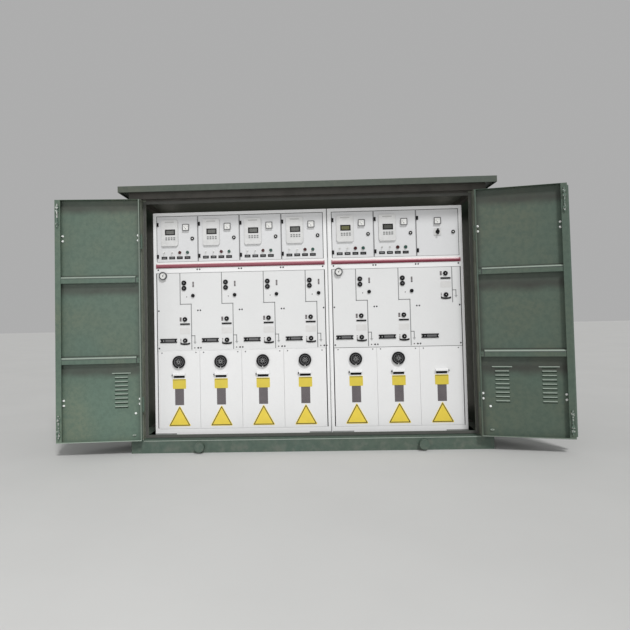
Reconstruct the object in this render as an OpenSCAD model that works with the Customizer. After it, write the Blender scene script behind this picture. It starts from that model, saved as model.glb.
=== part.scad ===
// Cable distribution box: steel kiosk with folding front doors standing open on a seven way
// switchgear row. Millimetres, +Z up, front towards -Y, origin under the middle of the plinth.

/* [Enclosure] */
// Width of the front stiles
stile_w = 94; // [70:1:120]
// Depth of the front stiles and header
stile_d = 60; // [54:1:80]
// Height of the header above the opening
header_h = 52; // [40:1:90]
// Space between the switchgear and the sides of the opening
side_gap = 56; // [40:1:90]
// Space between the switchgear and the top of the opening
head_gap = 88; // [60:1:140]
// Space behind the switchgear
rear_gap = 270; // [150:10:400]
// Thickness of the painted sheet
sheet = 2; // [1.5:0.5:3]
// Thickness of the door stops on the frame
stop_t = 3; // [2:0.5:5]
// Width of the door stops
stop_w = 26; // [22:1:34]
// Thickness of the door seal
seal_t = 5; // [4:0.5:7]
// Width of the door seal
seal_w = 20; // [14:1:22]
// Width of the posts and rails inside the walls
post_w = 40; // [30:1:60]
// Gap between the rear sheets, and above the inner posts
joint = 4; // [2:0.5:8]
// Height from the lowest wall louvre to the wall top
wall_louvre_z = 420; // [360:10:600]

/* [Plinth] */
// Height of the channel plinth
plinth_h = 100; // [90:5:160]
// Thickness of the channel flanges
flange_t = 6; // [5:0.5:10]
// Width of the channel flanges
flange_w = 80; // [70:1:90]
// Thickness of the channel webs
web_t = 5; // [4:0.5:8]
// Diameter of the anchor holes
anchor_d = 18; // [14:1:22]
// Distance of the anchor holes from the plinth ends
anchor_end = 166; // [130:1:260]
// Width of the cross members
cross_w = 50; // [40:1:70]
// Distance of the outer cross members inside the switchgear ends
cross_in = 40; // [30:1:60]
// Diameter of the lifting stubs
lug_d = 72; // [60:1:80]
// Length of the lifting stubs
lug_l = 44; // [30:1:60]
// Distance of the lifting stubs from the plinth ends
lug_end = 521; // [400:1:640]

/* [Roof] */
// Overhang of the roof on every side
roof_over = 64; // [50:1:110]
// Height of the roof edge
fascia_h = 36; // [28:1:60]
// Rise of the roof from its edges to the ridge
roof_rise = 48; // [20:1:80]
// Depth of the drip lip under the roof edge
drip_h = 10; // [6:1:20]
// Thickness of the drip lip
drip_t = 3; // [2:0.5:5]
// Width of the flat ridge
ridge_w = 80; // [40:5:140]

/* [Folding doors] */
// Depth of the leaf pans
leaf_t = 40; // [34:1:44]
// Width of the lip along the free edge of a leaf
lip_w = 42; // [34:1:50]
// Width of the lips along the hinge edge and the foot of a leaf
edge_lip = 9; // [6:0.5:14]
// Gap at the sides and foot of the leaves
leaf_gap = 4; // [3:0.5:6]
// Gap above the leaves
leaf_head = 12; // [6:1:16]
// Opening angle of the left outer leaf
left_open = 175; // [165:1:178]
// Opening angle of the right outer leaf
right_open = 167; // [163:1:176]
// Angle left between two folded leaves
fold_v = 35; // [33:1:44]
// Height of the leaf stiffeners
rib_h = 50; // [40:1:60]
// Height of the sloping top of the stiffeners
rib_top = 14; // [8:1:18]
// Length of the lower ends of the stiffeners
rib_end = 34; // [24:1:44]
// Depth of the leaf stiffeners
rib_d = 32; // [26:1:34]
// Distance of the shoot bolts from the leaf ends
bolt_end = 30; // [20:1:50]
// Length of the shoot bolts
bolt_l = 176; // [140:2:220]
// Diameter of the shoot bolts
bolt_d = 11; // [9:0.5:13]
// Width of the shoot bolt guides
guide_w = 22; // [18:1:25]
// Height and depth of the shoot bolt guides
guide_h = 16; // [14:1:22]
// Width of the handle plate
handle_w = 36; // [30:1:50]
// Height of the handle plate
handle_h = 210; // [160:5:260]
// Thickness of the handle plate
handle_t = 6; // [4:0.5:8]
// Distance of the handle from the edge of the leaf
handle_in = 75; // [60:1:110]

/* [Hinges] */
// Distance of the hinge axes in front of the leaves
hinge_off = 12; // [11:0.5:14]
// Distance of the hinges from the leaf ends
hinge_in = 290; // [220:5:360]
// Diameter of the hinge barrels
barrel_d = 18; // [14:0.5:20]
// Length of half a hinge
barrel_l = 55; // [40:1:70]
// Diameter of the hinge pins
pin_d = 8; // [6:0.5:10]
// Clearance of the hinge pins
pin_fit = 0.2; // [0.1:0.1:0.5]
// Width of the hinge wings
wing_w = 58; // [48:1:70]
// Thickness of the hinge wings
wing_t = 5; // [3:0.5:6]

/* [Louvres] */
// Slots in a louvre group
louvre_n = 9; // [6:1:10]
// Distance between louvre slots
louvre_pitch = 31; // [27:1:34]
// Width of the louvre slots
louvre_w = 98; // [80:1:120]
// Height of the louvre slots
slot_h = 11; // [8:1:13]
// Height of the lowest door slot above the leaf foot
louvre_z = 242; // [220:2:290]
// Distance of a louvre group from the leaf edge
louvre_in = 154; // [120:1:180]
// Height of the louvre hoods
hood_h = 22; // [18:1:25]
// Depth of the louvre hoods
hood_d = 11; // [8:1:14]
// Overlap of the hoods past the slot ends
hood_side = 5; // [3:1:8]

/* [Switchgear] */
// Width of one switchgear way
way_w = 328; // [300:1:360]
// Width of the frame at the sides of a block
frame_w = 26; // [20:1:40]
// Gap between the two blocks
block_gap = 12; // [6:1:20]
// Depth of the switchgear
gear_d = 750; // [650:10:850]
// Distance of the switchgear behind the front of the body
gear_set = 130; // [120:1:160]
// Depth of the switchgear frame and panels
frame_t = 20; // [16:1:26]
// Depth of the cable chambers
chamber_d = 400; // [340:5:480]
// Thickness of the chamber partitions
part_t = 3; // [2:0.5:5]
// Height of the top rail
top_h = 25; // [20:1:40]
// Height of the instrument doors
instr_h = 363; // [330:1:400]
// Height of the trim rail under the instrument doors
strip_h = 87; // [75:1:100]
// Height of the operating panels
panel_h = 612; // [560:1:680]
// Height of the cable covers
cover_h = 605; // [560:1:680]
// Height of the base rail
base_h = 44; // [36:1:60]
// Thickness of the floor and sill plates
floor_t = 3; // [2:0.5:5]
// Height of the foot pads
pad_h = 7; // [5:1:15]
// Width of the foot pads
pad_w = 165; // [120:1:200]
// Thickness of the hold-down lip of the front pads
pad_t = 5; // [3:0.5:8]
// Height of the hold-down lip up the base rail
pad_up = 12; // [8:1:20]
// Gap around the panels and covers
panel_gap = 1.5; // [1:0.25:3]
// Gap at the sides and the top of the instrument doors
door_gap = 5; // [3:0.5:6]
// Slot between the panels or covers and the side frames
side_slot = 7; // [5:0.5:8]
// Depth of the panels behind the frame face
panel_in = 1; // [0.5:0.25:2]
// Height of the instrument doors above the frame face
door_out = 3; // [2:0.5:5]

/* [Instrument doors] */
// Width of the protection relays
relay_w = 132; // [110:1:144]
// Height of the protection relays
relay_h = 204; // [170:1:220]
// Depth of the protection relays
relay_d = 9; // [7:1:14]
// Corner radius of the protection relays
relay_r = 10; // [5:1:16]
// Width of the relay screens
screen_w = 81; // [60:1:96]
// Height of the relay screens
screen_h = 46; // [36:1:60]
// Depth of the relay screens
screen_d = 3; // [2:0.5:5]
// Width and height of the meters
meter_w = 53; // [44:1:60]
// Depth of the meters
meter_d = 12; // [8:1:16]
// Diameter of the button collars
button_d = 26; // [22:1:30]
// Length of the buttons
button_l = 12; // [8:1:16]
// Height of the small door hinges
tab_h = 30; // [24:1:40]
// Width of the small door hinges
tab_w = 18; // [14:1:22]
// Diameter of the door locks
lock_d = 28; // [22:1:32]
// Diameter of the selector knob
knob_d = 30; // [24:1:36]

/* [Operating panels] */
// Height of the red trims
trim_h = 32; // [26:1:40]
// Depth of the red trims
trim_d = 8; // [5:1:12]
// Diameter of the pressure gauges
gauge_d = 60; // [50:1:66]
// Depth of the pressure gauges
gauge_l = 16; // [12:1:22]
// Width of the gauge rims
gauge_rim = 4; // [3:0.5:6]
// Diameter of the operating sockets
socket_d = 36; // [30:1:42]
// Diameter of the indicator discs
disc_d = 38; // [32:1:41]
// Distance between the indicator discs
disc_pitch = 42; // [42:1:50]
// Depth of the sockets and discs
socket_l = 7; // [5:1:10]
// Width of the socket rims
socket_rim = 7; // [5:0.5:9]
// Width of the socket keys
key_w = 6; // [4:0.5:8]
// Thickness of the socket keys
key_t = 2; // [1.5:0.5:3]
// Diameter of the test push
push_d = 28; // [22:1:32]
// Width of the interlock bars
bar_w = 76; // [60:1:90]
// Height of the interlock bars
bar_h = 12; // [8:1:16]
// Thickness of the interlock bars
bar_t = 5; // [3:0.5:7]
// Distance of the interlock bars from the sockets
bar_drop = 37; // [32:1:44]
// Radius of the curved interlock bars
arc_r = 118; // [100:1:140]
// Distance of the curved interlock bars from the sockets
arc_drop = 28; // [28:1:34]
// Width of the lever plates
lever_w = 132; // [110:1:140]
// Height of the lever plates
lever_h = 32; // [26:1:40]
// Thickness of the lever plates
lever_t = 6; // [4:0.5:8]

/* [Cable covers] */
// Thickness of the cover sheet
cover_t = 3; // [2:0.5:4]
// Diameter of the cover plugs
plug_d = 98; // [84:1:110]
// Depth of the cover plugs
plug_l = 16; // [12:1:22]
// Width of the plug rims
plug_rim = 10; // [7:0.5:14]
// Diameter of the plug hubs
hub_d = 28; // [22:1:36]
// Width of the hasps
hasp_w = 96; // [90:1:110]
// Height of the hasps
hasp_h = 18; // [14:1:24]
// Depth of the hasps
hasp_d = 20; // [14:1:26]
// Width of the hasp slots
catch_w = 84; // [70:1:88]
// Height of the hasp slots
catch_h = 20; // [14:1:26]
// Width of the viewing windows
window_w = 70; // [50:1:80]
// Height of the viewing windows
window_h = 128; // [100:1:150]
// Thickness of the window panes
pane_t = 4; // [3:0.5:6]

/* [Hidden] */
$fn = 64;
cut = 1;
left_ways = 4;
right_ways = 3;
ways = left_ways + right_ways;
left_w = left_ways * way_w + 2 * frame_w;
right_w = right_ways * way_w + 2 * frame_w;
gear_w = left_w + block_gap + right_w;
gear_h = top_h + instr_h + strip_h + panel_h + cover_h + base_h;
left_x = -gear_w / 2;
right_x = left_x + left_w + block_gap;
blocks = [[left_x, left_w, left_ways], [right_x, right_w, right_ways]];
opening_w = gear_w + 2 * side_gap;
opening_h = floor_t + pad_h + gear_h + head_gap;
body_w = opening_w + 2 * stile_w;
body_d = gear_set + gear_d + rear_gap;
yf = -body_d / 2;
floor_z = plinth_h + floor_t;
top_z = plinth_h + opening_h;
body_top = top_z + header_h;
leaf_w = (opening_w - 5 * leaf_gap) / 4;
leaf_h = opening_h - floor_t - leaf_gap - leaf_head;
leaf_z = floor_z + leaf_gap;
axis_y = yf - hinge_off;
axis_a = -opening_w / 2 + leaf_gap / 2;
axis_b = axis_a + leaf_w + leaf_gap;
outer_x = -opening_w / 2 + leaf_gap;
inner_x = outer_x + leaf_w + leaf_gap;
stop_y = yf + leaf_t + seal_t + cut;
seal_x = opening_w / 2 - leaf_gap - cut;
hinge_zs = [leaf_z + hinge_in - barrel_l / 2, leaf_z + leaf_h - hinge_in - barrel_l / 2];
left_groups = [louvre_in];
right_groups = [louvre_in, leaf_w - louvre_in];
wall_groups = [-body_d * 0.19, body_d * 0.19];
bay_w = (body_w - 2 * sheet) / 3;
gear_z = floor_z + pad_h;
gear_y = yf + gear_set;
back_y = gear_y + frame_t;
panel_y = gear_y + panel_in;
door_y = gear_y - door_out;
instr_z = gear_z + gear_h - top_h;
strip_z = instr_z - instr_h;
panel_z = strip_z - strip_h;
cover_z = panel_z - panel_h;
base_z = cover_z - cover_h;
trench_y = back_y + chamber_d * 0.06;
trench_d = chamber_d * 0.82;
anchor_x = body_w / 2 - anchor_end;
anchor_y = body_d / 2 - flange_w / 2;
lug_x = body_w / 2 - lug_end;
button_z = -instr_h * 0.8;
socket_x = way_w * 0.657;

// Left edge of a way, counted from the left
function way_x(i) = i < left_ways ? left_x + frame_w + i * way_w
  : right_x + frame_w + (i - left_ways) * way_w;

// Heights of the two sockets from the panel top
function socket_zs(i) = i == ways - 1 ? [-panel_h * 0.085, -panel_h * 0.355]
  : [-panel_h * 0.598, -panel_h * 0.869];

// A box between two corners
module span(a, b) translate(a) cube(b - a);

// A round boss standing out of a front face at y
module boss(x, y, z, d, h) translate([x, y, z]) rotate([90, 0, 0]) cylinder(d = d, h = h);

// A flat piece in the front plane, extruded forwards from y
module front(x, y, z, h) translate([x, y, z]) rotate([90, 0, 0]) linear_extrude(h) children();

// A rounded rectangle about its centre
module round_rect(w, h, r) {
  square([w - 2 * r, h], center = true);
  square([w, h - 2 * r], center = true);
  for (i = [-1, 1], j = [-1, 1]) translate([i * (w / 2 - r), j * (h / 2 - r)]) circle(r);
}

// Swing of an outer leaf about the stile hinges
module swing(open) translate([axis_a, axis_y, 0]) rotate([0, 0, -open])
  translate([-axis_a, -axis_y, 0]) children();

// Fold of an inner leaf about the hinges on the outer leaf
module fold(open) swing(open) translate([axis_b, axis_y, 0]) rotate([0, 0, fold_v - 180])
  translate([-axis_b, -axis_y, 0]) children();

// Leaf pan with flanges, lips and louvre slots, from its lower outer corner
module leaf_pan(groups) difference() {
  cube([leaf_w, leaf_t, leaf_h]);
  translate([sheet, sheet, sheet]) cube([leaf_w - 2 * sheet, leaf_t - 2 * sheet, leaf_h - 2 * sheet]);
  translate([edge_lip, leaf_t / 2, edge_lip])
    cube([leaf_w - edge_lip - lip_w, leaf_t, leaf_h - edge_lip - sheet]);
  for (g = groups, i = [0 : louvre_n - 1])
    translate([g - louvre_w / 2, -cut, louvre_z + i * louvre_pitch]) cube([louvre_w, sheet + 2 * cut, slot_h]);
}

// Pressed hoods over the slots of the louvre groups
module hoods(groups, z) for (g = groups, i = [0 : louvre_n - 1])
  translate([g - louvre_w / 2 - hood_side, 0, z + i * louvre_pitch - sheet]) rotate([90, 0, 90])
    linear_extrude(louvre_w + 2 * hood_side) polygon([[0, hood_h], [-hood_d, sheet], [-hood_d, 0],
      [sheet - hood_d, 0], [sheet - hood_d, sheet * 0.8], [0, hood_h - 2 * sheet]]);

// Outline of a stiffener channel with a sloping top, less a wall of the given thickness
module rib_shape(t) polygon([[-t, t], [rib_d - t, t], [rib_d - t, rib_h - rib_top - t / 2],
  [rib_d - rib_top - t / 2, rib_h - t], [-t, rib_h - t]]);

// Two stiffener channels of a leaf, with lower ends
module ribs() for (k = [1, 2]) translate([sheet, sheet, leaf_h * k / 3 - rib_h / 2]) difference() {
  union() {
    translate([rib_end, 0, 0]) rotate([90, 0, 90])
      linear_extrude(leaf_w - 2 * sheet - 2 * rib_end) rib_shape(0);
    cube([leaf_w - 2 * sheet, rib_d - rib_top / 2, rib_h - rib_top]);
  }
  translate([rib_end + sheet, 0, 0]) rotate([90, 0, 90])
    linear_extrude(leaf_w - 4 * sheet - 2 * rib_end) rib_shape(sheet);
  translate([-cut, -cut, sheet])
    cube([leaf_w, rib_d - rib_top / 2 - sheet + cut, rib_h - rib_top - 2 * sheet]);
}

// Lower half of a lift-off hinge with its pin, wing towards -X, raised by lift
module hinge_pin(x, lift) for (z = hinge_zs) translate([x, 0, z + lift]) {
  translate([0, axis_y, -barrel_l]) cylinder(d = barrel_d, h = barrel_l);
  translate([0, axis_y, -barrel_l / 5]) cylinder(d = pin_d, h = barrel_l * 1.1);
  span([-wing_w, yf - wing_t, -barrel_l], [0, yf, 0]);
  span([-barrel_d / 2, axis_y, -barrel_l], [0, yf, 0]);
}

// Upper half of a lift-off hinge, wing towards +X, raised by lift
module hinge_sleeve(x, lift) for (z = hinge_zs) translate([x, 0, z + lift]) difference() {
  union() {
    translate([0, axis_y, 0]) cylinder(d = barrel_d, h = barrel_l);
    span([0, yf - wing_t, 0], [wing_w, yf, barrel_l]);
    span([0, axis_y, 0], [barrel_d / 2, yf, barrel_l]);
  }
  translate([0, axis_y, -cut]) cylinder(d = pin_d + pin_fit, h = barrel_l * 0.95);
}

// Shoot bolt on the lip at the free edge of an outer leaf, from its tip
module shoot_bolt(z, s) translate([outer_x + leaf_w - lip_w / 2, yf + leaf_t, z]) scale([1, 1, s]) {
  translate([0, guide_h / 2, 0]) cylinder(d = bolt_d, h = bolt_l);
  for (k = [bolt_l * 0.16, bolt_l * 0.33])
    span([-guide_w / 2, 0, k - guide_h / 2], [guide_w / 2, guide_h, k + guide_h / 2]);
  span([-guide_w / 2, 0, bolt_l * 0.77], [guide_w / 2, guide_h / 2, bolt_l * 0.89]);
  translate([0, guide_h / 2, bolt_l * 0.83]) rotate([-90, 0, 0]) cylinder(d = bolt_d + cut, h = guide_h);
}

// Side wall sheet with high louvre slots, as seen at +X
module wall() difference() {
  span([body_w / 2 - sheet, yf + stile_d, plinth_h], [body_w / 2, body_d / 2, body_top]);
  for (g = wall_groups, i = [0 : louvre_n - 1])
    translate([body_w / 2 - sheet - cut, g - louvre_w / 2, body_top - wall_louvre_z + i * louvre_pitch])
      cube([sheet + 2 * cut, louvre_w, slot_h]);
}

// Hoods of the side wall at +X
module wall_hoods() translate([body_w / 2, 0, 0]) rotate([0, 0, 90])
  hoods(wall_groups, body_top - wall_louvre_z);

module plinth_long_rails() color("darkseagreen") for (s = [-1, 1]) scale([1, s, 1]) difference() {
  span([-body_w / 2, yf, 0], [body_w / 2, yf + flange_w, plinth_h]);
  span([-body_w / 2 + web_t, yf + web_t, flange_t], [body_w / 2 - web_t, 0, plinth_h - flange_t]);
  for (t = [-1, 1]) translate([t * anchor_x, -anchor_y, -cut]) cylinder(d = anchor_d, h = flange_t + 2 * cut);
}

module plinth_end_rails() color("darkseagreen") for (s = [-1, 1]) scale([s, 1, 1]) difference() {
  span([body_w / 2 - flange_w, yf + flange_w, 0], [body_w / 2, -yf - flange_w, plinth_h]);
  span([0, yf + flange_w - cut, flange_t], [body_w / 2 - web_t, cut - yf - flange_w, plinth_h - flange_t]);
}

module plinth_cross_members() color("darkseagreen")
  for (x = [left_x + cross_in, right_x - block_gap / 2, -left_x - cross_in])
    span([x - cross_w / 2, yf + flange_w, 0], [x + cross_w / 2, -yf - flange_w, plinth_h]);

module lifting_lugs() color("darkseagreen") for (s = [-1, 1], t = [-1, 1]) scale([1, t, 1])
  boss(s * lug_x, yf, plinth_h * 0.48, lug_d, lug_l);

module floor_plates() color("dimgray") {
  span([sheet - body_w / 2, yf + stile_d, plinth_h], [body_w / 2 - sheet, trench_y, floor_z]);
  span([sheet - body_w / 2, trench_y + trench_d, plinth_h], [body_w / 2 - sheet, body_d / 2 - sheet, floor_z]);
}

module front_stiles() color("seagreen") for (s = [-1, 1]) scale([s, 1, 1])
  translate([0, 0, plinth_h]) linear_extrude(opening_h) {
    translate([-body_w / 2, yf]) square([stile_w, stile_d]);
    translate([-opening_w / 2 - cut, stop_y]) square([stop_w + cut, stop_t]);
  }

module header() color("seagreen") {
  span([-body_w / 2, yf, top_z], [body_w / 2, yf + stile_d, body_top]);
  span([-opening_w / 2 + stop_w, stop_y, top_z - stop_w],
    [opening_w / 2 - stop_w, stop_y + stop_t, top_z + cut]);
}

module sill() color("seagreen") {
  span([-opening_w / 2, yf, plinth_h], [opening_w / 2, yf + stile_d, floor_z]);
  span([-opening_w / 2 + stop_w, stop_y, plinth_h],
    [opening_w / 2 - stop_w, stop_y + stop_t, floor_z + stop_w]);
}

module left_wall() color("seagreen") mirror([1, 0, 0]) wall();

module right_wall() color("seagreen") wall();

module rear_wall() color("seagreen") for (i = [-1, 0, 1]) translate([i * bay_w, 0, 0])
  span([joint / 2 - bay_w / 2, body_d / 2 - sheet, floor_z], [bay_w / 2 - joint / 2, body_d / 2, body_top]);

module inner_frame() color("darkslategray") {
  for (i = [-1.5, -0.5, 0.5, 1.5])
    translate([i * bay_w + (i < -1 ? post_w / 2 : i > 1 ? -post_w / 2 : 0), 0, 0])
      span([-post_w / 2, body_d / 2 - sheet - post_w, floor_z],
        [post_w / 2, body_d / 2 - sheet, body_top - post_w - joint]);
  for (s = [-1, 1]) scale([s, 1, 1]) span([body_w / 2 - sheet - post_w, yf + stile_d, body_top - post_w],
    [body_w / 2 - sheet, body_d / 2 - sheet - post_w - joint, body_top]);
  span([-body_w / 2 + sheet, body_d / 2 - sheet - post_w, body_top - post_w],
    [body_w / 2 - sheet, body_d / 2 - sheet, body_top]);
}

module roof() color("seagreen") difference() {
  translate([-body_w / 2 - roof_over, 0, body_top]) rotate([90, 0, 90])
    linear_extrude(body_w + 2 * roof_over) polygon([[yf - roof_over, -drip_h], [-yf + roof_over, -drip_h],
      [-yf + roof_over, fascia_h], [ridge_w / 2, fascia_h + roof_rise], [-ridge_w / 2, fascia_h + roof_rise],
      [yf - roof_over, fascia_h]]);
  span([-body_w / 2 - roof_over + drip_t, yf - roof_over + drip_t, body_top - drip_h - cut],
    [body_w / 2 + roof_over - drip_t, -yf + roof_over - drip_t, body_top]);
}

module door_seal() color("black") difference() {
  span([-seal_x, stop_y - seal_t, leaf_z + cut], [seal_x, stop_y, leaf_z + leaf_h - cut]);
  span([seal_w - seal_x, stop_y - seal_t - cut, leaf_z + cut + seal_w],
    [seal_x - seal_w, stop_y + cut, leaf_z + leaf_h - cut - seal_w]);
}

module left_outer_leaf() color("seagreen") swing(left_open)
  translate([outer_x, yf, leaf_z]) leaf_pan(left_groups);

module left_inner_leaf() color("seagreen") fold(left_open)
  translate([inner_x, yf, leaf_z]) leaf_pan(left_groups);

module right_outer_leaf() color("seagreen") mirror([1, 0, 0]) swing(right_open)
  translate([outer_x, yf, leaf_z]) leaf_pan(right_groups);

module right_inner_leaf() color("seagreen") mirror([1, 0, 0]) fold(right_open)
  translate([inner_x, yf, leaf_z]) leaf_pan(right_groups);

module leaf_ribs() color("seagreen") for (s = [0, 1]) mirror([s, 0, 0]) {
  swing(s == 0 ? left_open : right_open) translate([outer_x, yf, leaf_z]) ribs();
  fold(s == 0 ? left_open : right_open) translate([inner_x, yf, leaf_z]) ribs();
}

module louvres() color("seagreen") for (s = [0, 1]) mirror([s, 0, 0]) {
  swing(s == 0 ? left_open : right_open) translate([outer_x, yf, leaf_z])
    hoods(s == 0 ? left_groups : right_groups, louvre_z);
  fold(s == 0 ? left_open : right_open) translate([inner_x, yf, leaf_z])
    hoods(s == 0 ? left_groups : right_groups, louvre_z);
  mirror([1, 0, 0]) wall_hoods();
}

module frame_hinges() color("silver") for (s = [0, 1]) mirror([s, 0, 0]) hinge_pin(axis_a, 0);

module leaf_hinges() color("silver") for (s = [0, 1]) mirror([s, 0, 0])
  swing(s == 0 ? left_open : right_open) {
    hinge_sleeve(axis_a, 0);
    hinge_pin(axis_b, barrel_l);
  }

module fold_hinges() color("silver") for (s = [0, 1]) mirror([s, 0, 0])
  fold(s == 0 ? left_open : right_open) hinge_sleeve(axis_b, barrel_l);

module shoot_bolts() color("silver") for (s = [0, 1]) mirror([s, 0, 0])
  swing(s == 0 ? left_open : right_open) {
    shoot_bolt(leaf_z + leaf_h - bolt_end, -1);
    shoot_bolt(leaf_z + bolt_end, 1);
  }

module door_handle() color("dimgray") mirror([1, 0, 0]) fold(right_open)
  translate([inner_x + leaf_w - handle_in, yf, leaf_z + leaf_h / 2]) {
    span([-handle_w / 2, -handle_t, -handle_h / 2], [handle_w / 2, 0, handle_h / 2]);
    span([-handle_w * 0.3, -handle_t * 3.5, -handle_h * 0.43], [handle_w * 0.3, -handle_t, handle_h * 0.19]);
    boss(0, 0, handle_h / 3, handle_w * 0.7, handle_t * 3);
  }

// Solid housing of a block, hollowed below for the cable chambers
module housing(x, w) translate([x, 0, 0]) rotate([90, 0, 90]) linear_extrude(w)
  polygon([[back_y, cover_z], [gear_y + chamber_d, cover_z], [gear_y + chamber_d, gear_z],
    [gear_y + gear_d, gear_z], [gear_y + gear_d, gear_z + gear_h], [back_y, gear_z + gear_h]]);

module left_housing() color("gainsboro") housing(left_x, left_w);

module right_housing() color("gainsboro") housing(right_x, right_w);

module switchgear_frames() color("white") for (b = blocks) difference() {
  span([b[0], gear_y, gear_z], [b[0] + b[1], back_y, gear_z + gear_h]);
  span([b[0] + frame_w, gear_y - cut, strip_z], [b[0] + b[1] - frame_w, back_y + cut, instr_z]);
  span([b[0] + frame_w - side_slot, gear_y - cut, base_z],
    [b[0] + b[1] - frame_w + side_slot, back_y + cut, panel_z]);
}

module chamber_partitions() color("gainsboro") for (b = blocks, i = [0 : b[2]])
  translate([b[0] + (i == 0 ? 0 : i == b[2] ? b[1] - part_t : frame_w + i * way_w - part_t / 2), 0, 0])
    span([0, back_y, gear_z], [part_t, gear_y + chamber_d, cover_z]);

module foot_pads() color("dimgray") for (b = blocks, s = [0, 1])
  translate([b[0] + (s == 0 ? 0 : b[1] - pad_w), 0, floor_z]) {
    span([0, gear_y - pad_t, 0], [pad_w, trench_y, pad_h]);
    span([0, gear_y - pad_t, 0], [pad_w, gear_y, pad_h + pad_up]);
    span([0, gear_y + chamber_d * 1.1, 0], [pad_w, gear_y + gear_d, pad_h]);
  }

module instrument_doors() color("gainsboro") for (i = [0 : ways - 1])
  span([way_x(i) + door_gap, door_y, strip_z + panel_gap],
    [way_x(i) + way_w - door_gap, back_y, instr_z - door_gap]);

module door_fittings() color("black") for (i = [0 : ways - 1]) translate([way_x(i), 0, instr_z]) {
  for (z = [-instr_h * 0.185, -instr_h * 0.88]) {
    span([panel_gap, door_y - tab_w / 4, z - tab_h / 2], [tab_w, door_y, z + tab_h / 2]);
    translate([panel_gap + tab_w / 4, door_y - tab_w / 4, z - tab_h / 2]) cylinder(d = tab_w / 2, h = tab_h);
  }
  translate([way_w * 0.867, door_y, -instr_h / 2]) difference() {
    boss(0, 0, 0, lock_d, lock_d / 4);
    boss(0, -lock_d / 8, 0, lock_d / 2, lock_d / 4);
  }
  if (i == ways - 1) translate([way_w / 2, door_y - knob_d / 5, -instr_h * 0.49]) {
    boss(0, 0, 0, knob_d, knob_d / 4);
    span([-knob_d / 6, -knob_d * 0.6, -knob_d * 0.75], [knob_d / 6, -knob_d / 4, knob_d * 0.75]);
  }
}

module protection_relays() color("lightgray") for (i = [0 : ways - 2])
  translate([way_x(i) + way_w * 0.321, door_y, instr_z - instr_h * 0.37]) difference() {
    union() {
      front(0, 0, 0, relay_d) round_rect(relay_w, relay_h, relay_r);
      front(0, 0, relay_r / 2 - relay_h / 2, relay_d * 1.5)
        round_rect(relay_w - relay_r, relay_r * 1.6, relay_r * 0.7);
    }
    translate([relay_w * 0.034, 0, relay_h * 0.02]) span([-screen_w / 2, -relay_d - cut, -screen_h / 2],
      [screen_w / 2, screen_d - relay_d, screen_h / 2]);
  }

module panel_meters() color("whitesmoke") for (i = [0 : ways - 1])
  translate([way_x(i) + way_w * (i == ways - 1 ? 0.5 : 0.713), door_y, instr_z]) {
    front(0, 0, -instr_h * 0.259, meter_d) round_rect(meter_w, meter_w, meter_w / 8);
    if (i == ways - 1) front(0, 0, -instr_h * 0.49, knob_d / 5) round_rect(meter_w, meter_w, meter_w / 12);
  }

// Two stage push buttons of six ways
module button(x) for (i = [0 : ways - 2]) translate([way_x(i) + x, door_y, instr_z + button_z]) {
  boss(0, 0, 0, button_d, button_l / 3);
  boss(0, 0, 0, button_d * 0.77, button_l);
}

module red_buttons() color("firebrick") button(way_w * 0.559);

module green_buttons() color("seagreen") button(way_w * 0.744);

module red_trims() color("brown") for (i = [0 : ways - 1])
  translate([way_x(i) + panel_gap / 2, gear_y, strip_z - strip_h * 0.563]) rotate([90, 0, 90])
    linear_extrude(way_w - panel_gap) polygon([[0, 0], [-trim_d * 0.75, trim_h * 0.06],
      [-trim_d, trim_h * 0.19], [-trim_d, trim_h * 0.63], [-trim_d * 0.4, trim_h], [0, trim_h]]);

module operating_panels() color("whitesmoke") for (b = blocks)
  span([b[0] + frame_w, panel_y, cover_z + 2 * panel_gap],
    [b[0] + b[1] - frame_w, back_y, panel_z - 2 * panel_gap]);

module pressure_gauges() color("whitesmoke") for (i = [0, left_ways])
  translate([way_x(i) + way_w * 0.148, gear_y, panel_z - panel_h * 0.036]) difference() {
    union() {
      boss(0, 0, 0, gauge_d, gauge_l);
      boss(0, panel_in, -gauge_d / 6, gauge_d / 4, 2 * panel_in);
    }
    boss(0, gauge_rim - gauge_l, 0, gauge_d - 2 * gauge_rim, gauge_l);
  }

// Round operating socket shut by its rotary shutter
module socket(x, z, d) translate([x, panel_y, z]) {
  boss(0, 0, 0, d, socket_l);
  boss(0, 0, 0, d - 2 * socket_rim, socket_l + key_t);
  span([-key_w / 2, -socket_l - 2 * key_t, socket_rim - d / 2], [key_w / 2, -socket_l, d / 2 - socket_rim]);
}

module operating_sockets() color("black") for (i = [0 : ways - 1]) translate([way_x(i), 0, panel_z]) {
  for (z = socket_zs(i)) socket(socket_x, z, socket_d);
  if (i < ways - 1) {
    for (k = [0, 1]) socket(way_w * 0.645, -panel_h * 0.131 - k * disc_pitch, disc_d);
    boss(way_w * 0.858, panel_y, -panel_h * 0.296, push_d, push_d * 0.3);
  }
}

module interlock_plates() color("black") for (i = [0 : ways - 1]) translate([way_x(i), panel_y, panel_z]) {
  front(socket_x, 0, socket_zs(i)[0] - bar_drop, bar_t) square([bar_w, bar_h], center = true);
  front(socket_x, 0, socket_zs(i)[1] + arc_r - arc_drop, bar_t) intersection() {
    difference() {
      circle(arc_r + bar_h / 2, $fn = 3 * $fn);
      circle(arc_r - bar_h / 2, $fn = 3 * $fn);
    }
    translate([-bar_w / 2, -2 * arc_r]) square([bar_w, 2 * arc_r]);
  }
  front(way_w * 0.259, 0, -panel_h * 0.868, lever_t) difference() {
    square([lever_w, lever_h], center = true);
    for (s = [-1, 1]) translate([s * lever_w / 2, 0]) circle(d = lever_h * 0.44);
    translate([-lever_w * 0.3, 0]) circle(d = lever_h * 0.31);
  }
}

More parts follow.
